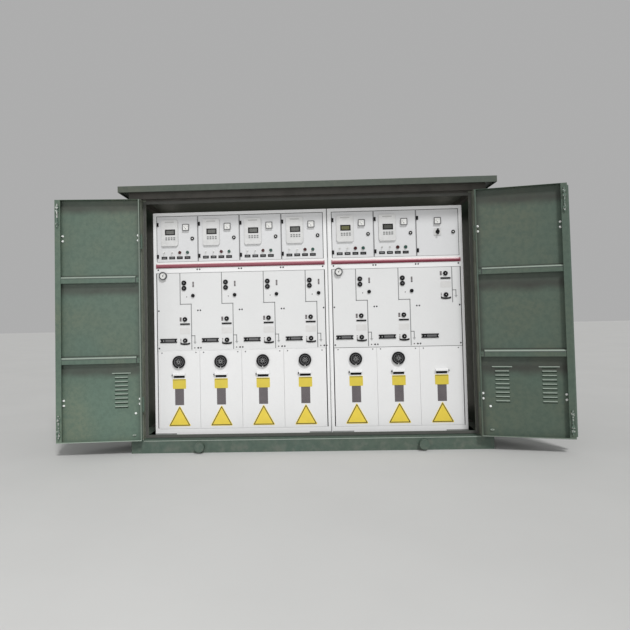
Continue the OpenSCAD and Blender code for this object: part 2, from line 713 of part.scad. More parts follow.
module cable_covers() color("whitesmoke") for (i = [0 : ways - 1]) translate([way_x(i), 0, cover_z])
  difference() {
    span([panel_gap / 2, panel_y, panel_gap - cover_h], [way_w - panel_gap / 2, back_y, -panel_gap]);
    span([cover_t, panel_y + cover_t, cover_t - cover_h + panel_gap],
      [way_w - cover_t, back_y + cut, -cover_t - panel_gap]);
    translate([way_w / 2, 0, -cover_h * 0.592])
      span([-window_w / 2, panel_y - cut, -window_h / 2], [window_w / 2, panel_y + 2 * cover_t, window_h / 2]);
    translate([way_w / 2, 0, -cover_h * 0.314])
      span([-catch_w / 2, panel_y - cut, -catch_h], [catch_w / 2, panel_y + 2 * cover_t, 0]);
  }

module cover_plugs() color("black") for (i = [0 : ways - 2])
  translate([way_x(i) + way_w / 2, panel_y, cover_z - cover_h * 0.142]) difference() {
    union() {
      boss(0, 0, 0, plug_d, plug_l);
      boss(0, 0, 0, hub_d, plug_l * 1.2);
    }
    difference() {
      boss(0, -plug_l / 2, 0, plug_d - 2 * plug_rim, plug_l);
      boss(0, 0, 0, hub_d, plug_l * 1.2);
    }
  }

module cover_hasps() color("white") for (i = [0 : ways - 1])
  translate([way_x(i) + way_w / 2 - hasp_w / 2, panel_y, cover_z - cover_h * 0.314]) rotate([90, 0, 90])
    linear_extrude(hasp_w) polygon([[0, 0], [-hasp_d, 0], [-hasp_d, hasp_h * 0.45], [-hasp_d * 0.3, hasp_h],
      [0, hasp_h]]);

module viewing_windows() color("slategray") for (i = [0 : ways - 1])
  translate([way_x(i) + way_w / 2, panel_y + cover_t, cover_z - cover_h * 0.592])
    span([-window_w / 2 - pane_t, 0, -window_h / 2 - pane_t],
      [window_w / 2 + pane_t, pane_t, window_h / 2 + pane_t]);

plinth_long_rails();
plinth_end_rails();
plinth_cross_members();
lifting_lugs();
floor_plates();
front_stiles();
header();
sill();
left_wall();
right_wall();
rear_wall();
inner_frame();
roof();
door_seal();
left_outer_leaf();
left_inner_leaf();
right_outer_leaf();
right_inner_leaf();
leaf_ribs();
louvres();
frame_hinges();
leaf_hinges();
fold_hinges();
shoot_bolts();
door_handle();
left_housing();
right_housing();
switchgear_frames();
chamber_partitions();
foot_pads();
instrument_doors();
door_fittings();
protection_relays();
panel_meters();
red_buttons();
green_buttons();
red_trims();
operating_panels();
pressure_gauges();
operating_sockets();
interlock_plates();
cable_covers();
cover_plugs();
cover_hasps();
viewing_windows();
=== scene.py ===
import math

import bmesh
import bpy
from mathutils import Matrix, Vector


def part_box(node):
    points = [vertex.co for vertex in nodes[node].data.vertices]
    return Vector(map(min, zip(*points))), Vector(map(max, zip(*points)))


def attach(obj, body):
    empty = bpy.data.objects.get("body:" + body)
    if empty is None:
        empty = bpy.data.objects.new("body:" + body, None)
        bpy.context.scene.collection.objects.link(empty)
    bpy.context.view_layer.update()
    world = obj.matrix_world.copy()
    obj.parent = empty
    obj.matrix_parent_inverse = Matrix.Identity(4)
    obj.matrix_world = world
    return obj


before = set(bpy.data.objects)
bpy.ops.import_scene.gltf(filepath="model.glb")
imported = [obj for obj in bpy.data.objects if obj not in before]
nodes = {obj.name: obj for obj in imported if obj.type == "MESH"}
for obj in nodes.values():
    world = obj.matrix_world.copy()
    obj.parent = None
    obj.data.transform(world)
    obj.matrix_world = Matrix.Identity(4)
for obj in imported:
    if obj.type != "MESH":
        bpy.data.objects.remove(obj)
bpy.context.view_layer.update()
scene = bpy.context.scene
print("frame loaded:", len(nodes), "nodes")


# camera and light

cameraSet = {"place": (-0.002, -4.711, 1.022), "yaw": 1.901, "pitch": 1.985, "roll": -1.229,
             "focalPixels": 547.8, "imagePixels": 630, "shift": (-25.8, -19.0), "sensor": 36}


def placeCamera(look):
    yaw, pitch, roll = (math.radians(look[k]) for k in ("yaw", "pitch", "roll"))
    forward = Vector((-math.sin(yaw) * math.cos(pitch), math.cos(yaw) * math.cos(pitch), math.sin(pitch)))
    right = Vector((math.cos(yaw), math.sin(yaw), 0))
    up = right.cross(forward)
    turnedRight = right * math.cos(roll) + up * math.sin(roll)
    turnedUp = up * math.cos(roll) - right * math.sin(roll)
    data = bpy.data.cameras.new("viewCamera")
    data.sensor_width = look["sensor"]
    data.lens = look["focalPixels"] * look["sensor"] / look["imagePixels"]
    data.shift_x = -look["shift"][0] / look["imagePixels"]
    data.shift_y = look["shift"][1] / look["imagePixels"]
    camera = bpy.data.objects.new("viewCamera", data)
    turn = Matrix((turnedRight, turnedUp, -forward)).transposed().to_4x4()
    camera.matrix_world = Matrix.Translation(look["place"]) @ turn
    scene.collection.objects.link(camera)
    scene.camera = camera


lightSet = {"keyStrength": 1.95, "keyHigh": 48, "keyRight": 20, "keySpread": 12, "keyFar": 8,
            "fillPower": 60, "fillPlace": (-1.2, -5.2, 1.7), "fillSize": (3.0, 3.0), "fillAim": (0, 0, 1.0),
            "cabinPower": 1.2, "cabinPlace": (0, 0.03, 1.862), "cabinSize": (2.5, 0.8),
            "gapPower": 0.5, "gapPlace": (1.28, 0.40, 1.0), "gapSize": (0.12, 1.7),
            "warm": (1.0, 0.93, 0.86), "sky": 0.42}


def aimAt(lamp, place, target):
    lamp.location = place
    lamp.rotation_euler = (Vector(target) - Vector(place)).to_track_quat("-Z", "Y").to_euler()


def softLight(name, power, size, place, target, shade=(1, 1, 1)):
    light = bpy.data.lights.new(name, "AREA")
    light.energy, light.shape, light.color = power, "RECTANGLE", shade
    light.size, light.size_y = size
    lamp = bpy.data.objects.new(name, light)
    lamp.visible_camera = False
    scene.collection.objects.link(lamp)
    aimAt(lamp, place, target)


def placeLights(look):
    high, side = math.radians(look["keyHigh"]), math.radians(look["keyRight"])
    key = bpy.data.lights.new("keyLight", "SUN")
    key.energy = look["keyStrength"]
    key.angle = math.radians(look["keySpread"])
    lamp = bpy.data.objects.new("keyLight", key)
    scene.collection.objects.link(lamp)
    toKey = Vector((math.sin(side) * math.cos(high), -math.cos(side) * math.cos(high), math.sin(high)))
    aimAt(lamp, toKey * look["keyFar"], (0, 0, 0))
    softLight("fillLight", look["fillPower"], look["fillSize"], look["fillPlace"], look["fillAim"])
    # one over the switchgear, one at the back beside each end of it
    x, y, z = look["cabinPlace"]
    softLight("cabinLight", look["cabinPower"], look["cabinSize"], (x, y, z), (x, y, z + 1), look["warm"])
    x, y, z = look["gapPlace"]
    for s in (-1, 1):
        softLight("gapLight", look["gapPower"], look["gapSize"], (s * x, y, z), (s * x, y - 1, z), look["warm"])
    world = bpy.data.worlds.new("studioSky")
    scene.world = world
    world.use_nodes = True
    sky = world.node_tree.nodes["Background"]
    sky.inputs["Color"].default_value = (1, 1, 1, 1)
    sky.inputs["Strength"].default_value = look["sky"]


placeCamera(cameraSet)
placeLights(lightSet)
scene.view_settings.view_transform = "Standard"
print("camera and light placed")


# where the folding leaves stand

leafSet = {"openingWide": 2.524, "gap": 0.004, "bodyFront": -0.575, "hingeOff": 0.012,
           "leftOpen": 175, "rightOpen": 167, "foldV": 35, "foot": 0.107, "high": 1.815, "sheet": 0.002,
           "ribHalf": 0.025, "tongueDeep": 0.027}
leafWide = (leafSet["openingWide"] - 5 * leafSet["gap"]) / 4
hingeA = -leafSet["openingWide"] / 2 + leafSet["gap"] / 2
hingeB = hingeA + leafWide + leafSet["gap"]
hingeLine = leafSet["bodyFront"] - leafSet["hingeOff"]
ribHeights = [leafSet["high"] * k / 3 for k in (1, 2)]  # above the leaf's foot


def turnAt(place, degrees, axis="Y"):
    return Matrix.Translation(place) @ Matrix.Rotation(math.radians(degrees), 4, axis)


def leafFrame(side, inner=False):
    # from the closed leaf's lower outer corner to where the leaf stands
    def about(x, degrees):
        return turnAt((x, hingeLine, 0), degrees, "Z") @ Matrix.Translation((-x, -hingeLine, 0))

    turn = about(hingeA, -(leafSet["leftOpen"] if side < 0 else leafSet["rightOpen"]))
    start = hingeA + leafSet["gap"] / 2
    if inner:
        turn = turn @ about(hingeB, leafSet["foldV"] - 180)
        start += leafWide + leafSet["gap"]
    place = turn @ Matrix.Translation((start, leafSet["bodyFront"], leafSet["foot"]))
    return Matrix.Scale(-1, 4, (1, 0, 0)) @ place if side > 0 else place


# finishes

class Wire:
    def __init__(self, tree, socket=None):
        self.tree, self.socket = tree, socket

    def node(self, kind, settings=None, sockets=None, out=0):
        made = self.tree.nodes.new(kind)
        for key, value in (settings or {}).items():
            setattr(made, key, value)
        for key, value in (sockets or {}).items():
            for item in value if isinstance(value, list) else [value]:  # a list where several links join
                if isinstance(item, Wire):
                    self.tree.links.new(item.socket, made.inputs[key])
                else:
                    made.inputs[key].default_value = item
        return Wire(self.tree, made.outputs[out] if made.outputs else None)

    def also(self, out):
        return Wire(self.tree, self.socket.node.outputs[out])  # another output of the same node

    def maths(self, operation, first, second=0.0):
        return self.node("ShaderNodeMath", {"operation": operation}, {0: first, 1: second})

    def __add__(self, other):
        return self.maths("ADD", self, other)

    def __radd__(self, other):
        return self.maths("ADD", other, self)

    def __sub__(self, other):
        return self.maths("SUBTRACT", self, other)

    def __rsub__(self, other):
        return self.maths("SUBTRACT", other, self)

    def __mul__(self, other):
        return self.maths("MULTIPLY", self, other)

    def __rmul__(self, other):
        return self.maths("MULTIPLY", other, self)

    def __gt__(self, other):
        return self.maths("GREATER_THAN", self, other)

    def __lt__(self, other):
        return self.maths("LESS_THAN", self, other)

    def ramp(self, low, high, start=0.0, end=1.0):
        return self.node("ShaderNodeMapRange", {"interpolation_type": "SMOOTHSTEP"},
                         {0: self, 1: low, 2: high, 3: start, 4: end})


class Finish:
    def __init__(self, name, metallic=0.0, specular=0.5):
        self.material = bpy.data.materials.new(name)
        self.material.use_nodes = True
        self.tree = self.material.node_tree
        self.shader = self.tree.nodes["Principled BSDF"]
        self.wire = Wire(self.tree)
        self.place = self.wire.node("ShaderNodeTexCoord", out="Object")
        self.feed("Metallic", metallic)
        self.feed("Specular IOR Level", specular)

    def noise(self, scale, detail, rough=0.55):
        return self.wire.node("ShaderNodeTexNoise", {"noise_dimensions": "3D"},
                              {"Vector": self.place, "Scale": scale, "Detail": detail, "Roughness": rough})

    def axis(self, letter):
        return self.wire.node("ShaderNodeSeparateXYZ", sockets={0: self.place}, out=letter)

    def along(self, way):
        return self.wire.node("ShaderNodeVectorMath", {"operation": "DOT_PRODUCT"},
                              {0: self.place, 1: tuple(way)}, out="Value")

    def blend(self, share, first, second, kind="MIX"):
        first, second = (c if isinstance(c, Wire) else (*c, 1) for c in (first, second))
        return self.wire.node("ShaderNodeMix", {"data_type": "RGBA", "blend_type": kind},
                              {0: share, 6: first, 7: second}, out=2)

    def layer(self, colour, shade, scale, detail, low, high, share, factor, rough=0.55):
        # over colour, a noisy share of the shade made paler or darker
        spread = self.noise(scale, detail, rough)
        return self.blend(spread.ramp(low, high, 0.0, share), colour, tone(shade, factor)), spread

    def feed(self, key, value):
        if isinstance(value, Wire):
            self.tree.links.new(value.socket, self.shader.inputs[key])
        else:
            self.shader.inputs[key].default_value = value

    def give(self, colour, rough, height=None, bump=None):
        self.feed("Base Color", colour)
        self.feed("Roughness", rough)
        if height is not None:
            strength, reach = bump
            self.feed("Normal", self.wire.node("ShaderNodeBump", sockets={
                "Strength": strength, "Distance": reach, "Height": height}))
        return self.material


def tone(colour, factor):
    return tuple(c * factor for c in colour)


# in the grain sets a layer is its noise's scale and detail, where it begins and ends, its share, its tone
# and, where it differs, the noise's roughness; a bump is its strength and depth
greenGrain = {"cloud": 2.2, "mottle": (30, 4, 0.36, 0.68, 0.75, 0.80, 0.72), "peel": 420, "peelMottle": 0.6,
              "dust": 14, "dustHigh": 0.16, "dustShare": 0.3, "rough": 0.42, "spread": 0.18,
              "bump": (0.10, 0.0006), "gloss": 0.4}
greenLooks = {
    "green": {"coat": (0.089, 0.137, 0.106), "shift": (0.101, 0.139, 0.102), "dust": (0.26, 0.25, 0.21)},
    "roof": {"coat": (0.073, 0.090, 0.073), "shift": (0.081, 0.092, 0.071), "dust": (0.24, 0.235, 0.21)},
    "plinth": {"coat": (0.071, 0.108, 0.086), "shift": (0.080, 0.110, 0.084), "dust": (0.22, 0.21, 0.18)},
}


def greenLayers(paint, look):
    grain = greenGrain
    colour = paint.blend(paint.noise(grain["cloud"], 2).ramp(0.3, 0.7), look["coat"], look["shift"])
    colour, mottle = paint.layer(colour, look["coat"], *grain["mottle"])
    settled = paint.axis("Z").ramp(0.0, grain["dustHigh"], 1.0, 0.0)
    dust = settled * paint.noise(grain["dust"], 5).ramp(0.42, 0.7)
    colour = paint.blend(dust * grain["dustShare"], colour, look["dust"])
    height = paint.noise(grain["peel"], 2) + mottle * grain["peelMottle"]
    return colour, grain["rough"] + mottle * grain["spread"], height


def greenCoat(name, look, right=None):
    # right: the look from the middle of the box to +X, where it differs
    paint = Finish(name, specular=greenGrain["gloss"])
    colour, rough, height = greenLayers(paint, look)
    if right:
        colour = paint.blend(paint.axis("X") > 0, colour, greenLayers(paint, right)[0])
    return paint.give(colour, rough, height, greenGrain["bump"])


# left leaf, then right; the right leaf's coat is the same green made darker, painted shade.
# Painted shade reaches "deep" below each rib and the top flange, "edge" is its share beside the hinges,
# and the lowest bay's colour is multiplied by the last value
leafLooks = {
    -1: {"coat": (0.090, 0.139, 0.107), "shift": (0.110, 0.141, 0.100), "dust": (0.26, 0.25, 0.21),
         "shadeTone": (0.040, 0.041, 0.034), "deep": 0.082, "edge": 0.35, "lowBayScale": 1.2},
    1: {"coat": (0.072, 0.110, 0.085), "shift": (0.089, 0.112, 0.080), "dust": (0.26, 0.25, 0.21),
        "shadeTone": (0.031, 0.030, 0.025), "deep": 0.116, "edge": 0.6, "lowBayScale": 1.0},
}
leafShadeSet = {"soft": 0.045, "waver": 0.08, "shares": (0.95, 0.45), "hinge": (0.004, 0.055), "bay": (0.35, 0.72),
            "overRib": (0.003, 0.015), "overRibUnder": 0.004, "overRibShare": 0.7, "onSheet": 0.006}


def leafCoat(name, look, side):
    # painted shade on the inside: under the top flange and the ribs, in a thin line above each rib, and beside
    # the hinges
    paint = Finish(name, specular=greenGrain["gloss"])
    colour, rough, bumps = greenLayers(paint, look)
    turn = leafFrame(side)
    across, inward = ((turn.to_3x3() @ Vector(way)).normalized() for way in ((1, 0, 0), (0, 1, 0)))
    face = inward.dot(turn @ Vector((0, leafSet["sheet"] / 2, 0)))
    depth, height = paint.along(inward), paint.axis("Z")
    fromHinge = paint.along(across) - across.dot(turn.translation)
    colour = paint.blend(height.ramp(*leafShadeSet["bay"], 1.0, 0.0), colour, (look["lowBayScale"],) * 3, "MULTIPLY")
    uneven = height + paint.noise(6, 3) * leafShadeSet["waver"] - leafShadeSet["waver"] / 2
    share = fromHinge.ramp(*leafShadeSet["hinge"], look["edge"], 0.0)
    tops = [leafSet["foot"] + z - leafSet["ribHalf"] for z in ribHeights]
    for top in tops + [leafSet["foot"] + leafSet["high"]]:
        foot = top - look["deep"]
        band = uneven.ramp(foot - leafShadeSet["soft"], foot + leafShadeSet["soft"])
        band = band * height.ramp(foot, top, *leafShadeSet["shares"]) * (height < top)
        share = paint.wire.maths("MAXIMUM", share, band)
    for top in tops:
        overRib = top + 2 * leafSet["ribHalf"]
        low, high = (overRib + reach for reach in leafShadeSet["overRib"])
        line = height.ramp(low, high, leafShadeSet["overRibShare"], 0.0) * (height > overRib - leafShadeSet["overRibUnder"])
        share = paint.wire.maths("MAXIMUM", share, line)
    onSheet = (depth > face) * (depth < face + leafShadeSet["onSheet"])
    # the painted shade's share, a little uneven, on the sheet's inner face only
    paintedShadeShare = share * onSheet * paint.noise(7, 3).ramp(0.1, 0.6, 0.8, 1.0)
    return paint.give(paint.blend(paintedShadeShare, colour, look["shadeTone"]), rough, bumps, greenGrain["bump"])


# whites, plastics, painted steels and lacquers: the material's name and shade, then what differs from the usual
whiteSet = {"panel": ("panelWhite", (0.705, 0.708, 0.707)), "cover": ("coverWhite", (0.765, 0.765, 0.765)),
            # the frame's white is paler than the panels', partly a painted highlight along its edges
            "gearFrame": ("frameWhite", (0.80, 0.80, 0.80)), "door": ("doorGrey", (0.665, 0.668, 0.675)),
            "housing": ("housingGrey", (0.60, 0.61, 0.61))}
whiteGrain = {"cloud": (1.6, 2, 0.3, 0.7, 0.5, 0.955), "grain": (60, 3, 0.45, 0.8, 0.3, 0.93), "fine": 900,
              "fineGrain": 0.4, "rough": 0.46, "spread": 0.14, "bump": (0.12, 0.0004), "gloss": 0.4}


def whiteCoat(name, shade):
    look = whiteGrain
    paint = Finish(name, specular=look["gloss"])
    colour, _ = paint.layer(shade, shade, *look["cloud"])
    colour, grain = paint.layer(colour, shade, *look["grain"])
    height = paint.noise(look["fine"], 2) + grain * look["fineGrain"]
    return paint.give(colour, look["rough"] + grain * look["spread"], height, look["bump"])


plasticSet = {"black": ("blackPlastic", (0.010, 0.010, 0.011), 0.5, 0.14),
              "rubber": ("sealRubber", (0.078, 0.080, 0.072), 0.7, 0.45, 300, 0.25),
              "relay": ("relayPale", (0.645, 0.645, 0.64)), "meter": ("meterPale", (0.64, 0.64, 0.63)),
              "key": ("keyGrey", (0.21, 0.215, 0.215)), "toggle": ("togglePale", (0.56, 0.56, 0.55)),
              "red": ("buttonRed", (0.060, 0.012, 0.015), 0.3, 0.2),
              "greenButton": ("buttonGreen", (0.030, 0.078, 0.064), 0.3, 0.25)}
plasticGrain = {"cloud": (24, 3, 0.35, 0.7, 0.6, 0.86), "fine": (2, 0.5, 0.85, 0.3, 1.2), "spread": 0.12,
                "bumpDeep": 0.0003}


def plastic(name, shade, rough=0.42, gloss=0.45, scale=700, bump=0.12):
    look = plasticGrain
    moulded = Finish(name, specular=gloss)
    colour, cloud = moulded.layer(shade, shade, *look["cloud"])
    colour, fine = moulded.layer(colour, shade, scale, *look["fine"])
    return moulded.give(colour, rough + cloud * look["spread"], fine, (bump, look["bumpDeep"]))


steelSet = {"floor": ("innerSteel", (0.10, 0.097, 0.086)), "deck": ("deckSteel", (0.055, 0.058, 0.050)),
            "pad": ("padGrey", (0.30, 0.305, 0.30)), "handle": ("handleDark", (0.05, 0.05, 0.05)),
            # the header's and stiles' olive-brown is painted shade, the green paint's look in shade; the
            # stiles' is set paler against their own shadow
            "header": ("headerOlive", (0.064, 0.060, 0.051)), "stile": ("stileOlive", (0.180, 0.196, 0.156))}
steelGrain = {"patch": (9, 5, 0.4, 0.72, 1.0, 0.7, 0.6), "fine": 350, "rough": 0.48, "spread": 0.2,
              "bump": (0.12, 0.0005), "gloss": 0.4}


def paintedSteel(name, shade):
    look = steelGrain
    steel = Finish(name, specular=look["gloss"])
    colour, patch = steel.layer(shade, shade, *look["patch"])
    fine = steel.noise(look["fine"], 2)
    return steel.give(colour, look["rough"] + patch * look["spread"], fine, look["bump"])


trimSet = {"dark": (0.150, 0.010, 0.028), "middle": (0.265, 0.060, 0.085), "pale": (0.66, 0.43, 0.44),
           "steps": (0.30, 0.54, 0.78, 0.95), "grain": (120, 3, 0.4, 0.8, 0.3, 0.8), "bump": (0.06, 0.0004)}
lacquerSet = {"yellow": ("plateYellow", (0.80, 0.61, 0.068)), "amber": ("plateAmber", (0.665, 0.525, 0.056)),
              "edge": ("plateEdge", (0.048, 0.044, 0.018)), "label": ("labelPale", (0.655, 0.648, 0.640)),
              "line": ("mimicGrey", (0.21, 0.212, 0.215)), "mark": ("markDark", (0.065, 0.048, 0.050)),
              "dial": ("dialWhite", (0.76, 0.76, 0.74)), "needle": ("needleDark", (0.09, 0.09, 0.09)),
              "rim": ("rimDark", (0.045, 0.046, 0.05)),
              "bezel": ("bezelBlack", (0.014, 0.014, 0.014), 0.38, 0.1),
              "frame": ("meterFrame", (0.115, 0.115, 0.12)), "grey": ("shutterGrey", (0.30, 0.30, 0.30)),
              "slate": ("slateGrey", (0.115, 0.115, 0.118)), "caption": ("captionGrey", (0.45, 0.45, 0.44)),
              "gasket": ("gasketDark", (0.035, 0.035, 0.037), 0.7),
              "gasketPale": ("gasketPale", (0.26, 0.26, 0.265), 0.7),
              # the two pale greens after the nut's white are painted highlights, the second one dimmer
              "nut": ("nutBright", (0.88, 0.89, 0.87), 0.22), "worn": ("wornEdge", (0.285, 0.335, 0.290)),
              "dimSheen": ("wornEdgeDim", (0.185, 0.215, 0.185)), "trimEnd": ("trimEndRed", trimSet["middle"])}
lacquerGrain = {"cloud": (18, 3, 0.35, 0.7, 0.5, 0.9), "grain": (260, 3, 0.55, 0.85, 0.25, 0.8), "spread": 0.12,
                "bump": (0.08, 0.0003)}


def lacquer(name, shade, rough=0.38, gloss=0.45):
    look = lacquerGrain
    coat = Finish(name, specular=gloss)
    colour, cloud = coat.layer(shade, shade, *look["cloud"])
    colour, grain = coat.layer(colour, shade, *look["grain"])
    return coat.give(colour, rough + cloud * look["spread"], grain, look["bump"])


def trimRed(look):
    # painted shade at the foot, a painted highlight where the top edge catches the light
    strip = Finish("trimRed", specular=0.5)
    low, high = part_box("red_trims")
    steps = [low.z + (high.z - low.z) * share for share in look["steps"]]
    colour = strip.blend(strip.axis("Z").ramp(steps[0], steps[1]), look["dark"], look["middle"])
    colour = strip.blend(strip.axis("Z").ramp(steps[2], steps[3]), colour, look["pale"])
    colour, grain = strip.layer(colour, look["dark"], *look["grain"])
    return strip.give(colour, 0.3 + grain * 0.12, grain, look["bump"])


zincSet = {"bright": (0.66, 0.66, 0.63), "dull": (0.40, 0.41, 0.40), "metallic": 0.85}


def zincPlate(look):
    metal = Finish("hingeZinc", metallic=look["metallic"])
    patch, fine = metal.noise(38, 4), metal.noise(500, 2)
    colour = metal.blend(patch.ramp(0.35, 0.7), look["bright"], look["dull"])
    return metal.give(colour, 0.28 + patch * 0.22, fine, (0.08, 0.0003))


def wornZinc(look, green):
    # green paint rubbed through to the zinc
    metal = Finish("boltZinc")
    patch, fine = metal.noise(55, 5, 0.65), metal.noise(420, 2)
    bare = patch.ramp(0.48, 0.58)
    metal.feed("Metallic", bare * look["metallic"])
    return metal.give(metal.blend(bare, green["coat"], look["bright"]), 0.5 - bare * 0.2, fine, (0.1, 0.0004))


paneSet = {"pane": (0.135, 0.118, 0.125), "mesh": (0.075, 0.066, 0.07), "pitch": 0.0045,
           "cloud": (12, 3, 0.4, 0.75, 0.3, 1.25), "bump": (0.2, 0.0005)}


def smokedPane(look):
    pane = Finish("smokedPane", specular=0.5)
    step = 2 * math.pi / look["pitch"]
    across, upward = (pane.wire.maths("SINE", pane.axis(letter) * step) for letter in "XZ")
    holes = (across * upward).ramp(-0.2, 0.5)
    colour, cloud = pane.layer(pane.blend(holes, look["pane"], look["mesh"]), look["pane"], *look["cloud"])
    return pane.give(colour, 0.3 + cloud * 0.1, holes, look["bump"])


screenSet = {"grey": {"glass": (0.052, 0.054, 0.046), "row": (0.098, 0.101, 0.087)},
             "olive": {"glass": (0.090, 0.090, 0.030), "row": (0.145, 0.145, 0.060)},
             "rowStep": 0.0085, "cellStep": 0.0032}


def relayScreen(name, look):
    # faint rows of cells, some of them lit
    glass = Finish(name, specular=0.6)
    rowStep = screenSet["rowStep"]
    rows = glass.wire.maths("SINE", glass.axis("Z") * (2 * math.pi / rowStep)) > 0.1
    snapped = glass.wire.node("ShaderNodeVectorMath", {"operation": "SNAP"},
                              {0: glass.place, 1: (screenSet["cellStep"], 0.5, rowStep)})
    cells = glass.wire.node("ShaderNodeTexWhiteNoise", {"noise_dimensions": "2D"}, {"Vector": snapped}, "Value")
    smear = glass.noise(45, 3)
    colour = glass.blend(rows * (cells > 0.45) * 0.8, look["glass"], look["row"])
    return glass.give(colour, 0.16 + smear * 0.14, smear, (0.03, 0.0003))


finishes = {
    "green": greenCoat("kioskGreen", greenLooks["green"]),
    "roof": greenCoat("roofGreen", greenLooks["roof"]),
    "plinth": greenCoat("plinthGreen", greenLooks["plinth"]),
    # the ribs on +X take the right leaf's darker copy of the green, painted shade
    "rib": greenCoat("ribGreen", leafLooks[-1], leafLooks[1]),
    "leftLeaf": leafCoat("leftLeafGreen", leafLooks[-1], -1),
    "rightLeaf": leafCoat("rightLeafGreen", leafLooks[1], 1),
    "trim": trimRed(trimSet),
    "zinc": zincPlate(zincSet),
    "bolt": wornZinc(zincSet, greenLooks["green"]),
    "pane": smokedPane(paneSet),
    "screen": relayScreen("relayScreen", screenSet["grey"]),
    "olive": relayScreen("oliveScreen", screenSet["olive"]),
}
for make, looks in ((whiteCoat, whiteSet), (plastic, plasticSet), (paintedSteel, steelSet),
                    (lacquer, lacquerSet)):
    finishes.update({key: make(*look) for key, look in looks.items()})

nodeFinish = {
    "green": ["left_wall", "right_wall", "rear_wall", "left_inner_leaf", "right_inner_leaf",
              "louvres", "frame_hinges", "leaf_hinges", "fold_hinges"],
    "plinth": ["plinth_long_rails", "plinth_end_rails", "plinth_cross_members", "lifting_lugs", "sill"],
    "rib": ["leaf_ribs"],
    "leftLeaf": ["left_outer_leaf"],
    "rightLeaf": ["right_outer_leaf"],
    "roof": ["roof"],
    "header": ["header"],
    "stile": ["front_stiles"],
    "bolt": ["shoot_bolts"],
    "rubber": ["door_seal"],
    "floor": ["inner_frame"],
    "deck": ["floor_plates"],
    "pad": ["foot_pads"],
    "handle": ["door_handle"],
    "panel": ["operating_panels"],
    "cover": ["cable_covers", "cover_hasps"],
    "gearFrame": ["switchgear_frames"],
    "door": ["instrument_doors"],
    "housing": ["left_housing", "right_housing", "chamber_partitions"],
    "black": ["door_fittings", "operating_sockets", "interlock_plates", "cover_plugs"],
    "relay": ["protection_relays"],
    "meter": ["panel_meters", "pressure_gauges"],
    "red": ["red_buttons"],
    "greenButton": ["green_buttons"],
    "trim": ["red_trims"],
    "pane": ["viewing_windows"],
}
for finishName, members in nodeFinish.items():
    for member in members:
        mesh = nodes[member].data
        mesh.materials.clear()
        mesh.materials.append(finishes[finishName])
print("finishes given:", len(finishes))


# shapes for the small pieces

meshSet = {"smoothSides": 16, "sharpDegrees": 35, "weld": 1e-7}


def addBox(bm, low, high, turn=Matrix(), slot=0):
    made = bmesh.ops.create_cube(bm, size=1)["verts"]
    for v in made:
        v.co = turn @ Vector([a + (share + 0.5) * (b - a) for a, b, share in zip(low, high, v.co)])
    for f in {f for v in made for f in v.link_faces}:
        f.material_index = slot


def skin(bm, a, b, slot, smooth=False):
    for i in range(len(a)):
        j = (i + 1) % len(a)
        face = bm.faces.new((a[i], a[j], b[j], b[i]))
        face.material_index, face.smooth = slot, smooth


def addPrism(bm, outline, front, back, inner=None, slot=0, turn=Matrix()):
    # outline runs anticlockwise in x and z, front is the smaller y
    def rings(points):
        return [[bm.verts.new(turn @ Vector((x, y, z))) for x, z in points] for y in (front, back)]

    smooth = len(outline) >= meshSet["smoothSides"]
    near, far = rings(outline)
    skin(bm, near, far, slot, smooth)
    if inner is None:
        for ring in (near, far):
            bm.faces.new(ring).material_index = slot
    else:
        innerNear, innerFar = rings(inner)
        skin(bm, innerNear, innerFar, slot, smooth)
        skin(bm, near, innerNear, slot)
        skin(bm, far, innerFar, slot)


def addRun(bm, section, start, end, slot=0, smooth=False, turn=Matrix()):
    # section lies in y and z and runs along x
    first, last = ([bm.verts.new(turn @ Vector((x, y, z))) for y, z in section] for x in (start, end))
    for ring in (first, last):
        bm.faces.new(ring).material_index = slot
    skin(bm, first, last, slot, smooth)


def circle(x, z, radius, count):
    return [(x + radius * math.cos(2 * math.pi * i / count), z + radius * math.sin(2 * math.pi * i / count))
            for i in range(count)]


def addRing(bm, x, z, radii, count, front, back, slot=0):
    outer, inner = (circle(x, z, radius, count) for radius in radii)
    addPrism(bm, outer, front, back, inner, slot)


def roundedBox(x, z, wide, high, radius, count=4):
    points = []
    for cx, cz, start in ((1, 1, 0), (-1, 1, 90), (-1, -1, 180), (1, -1, 270)):
        for i in range(count + 1):
            angle = math.radians(start + 90 * i / count)
            points.append((x + cx * (wide / 2 - radius) + radius * math.cos(angle),
                           z + cz * (high / 2 - radius) + radius * math.sin(angle)))
    return points


def roundedTriangle(x, base, half, high, radius, inset=0.0, count=4):
    corners = [Vector((x - half, base)), Vector((x + half, base)), Vector((x, base + high))]
    middle = sum(corners, Vector((0, 0))) / 3
    points = []
    for i, corner in enumerate(corners):
        before = (corners[i - 1] - corner).normalized()
        after = (corners[(i + 1) % 3] - corner).normalized()
        split = (before + after).normalized()
        sine = math.sqrt((1 - before.dot(after)) / 2)
        centre = corner + split * ((radius + inset) / sine)
        first, last = Vector((before.y, -before.x)), Vector((after.y, -after.x))
        first = first if first.dot(middle - corner) < 0 else -first
        last = last if last.dot(middle - corner) < 0 else -last
        for k in range(count + 1):
            points.append(tuple(centre + first.slerp(last, k / count) * radius))
    return points


def addStroke(bm, start, end, wide, front, back):
    # a straight strip on the front plane
    low, high = ([pick(a, b) for a, b in zip(start, end)] for pick in (min, max))
    addBox(bm, (low[0] - wide / 2, front, low[1] - wide / 2), (high[0] + wide / 2, back, high[1] + wide / 2))


def addHand(bm, pivot, degrees, hand, slot):
    # a tick, needle or rib, turned about a pivot; hand is half its width, its span in y and its span outward
    half, thick, span = hand
    addBox(bm, (-half, thick[0], span[0]), (half, thick[1], span[1]), turnAt(pivot, degrees), slot)


def addScale(bm, pivot, look, every, slot):
    for k in range(look["ticks"]):
        degrees = look["sweep"] * (k / (look["ticks"] - 1) - 0.5)
        addHand(bm, pivot, degrees, look["tick" if k % every else "longTick"], slot)


def spanAt(face, span):
    return face + span[0], face + span[1]


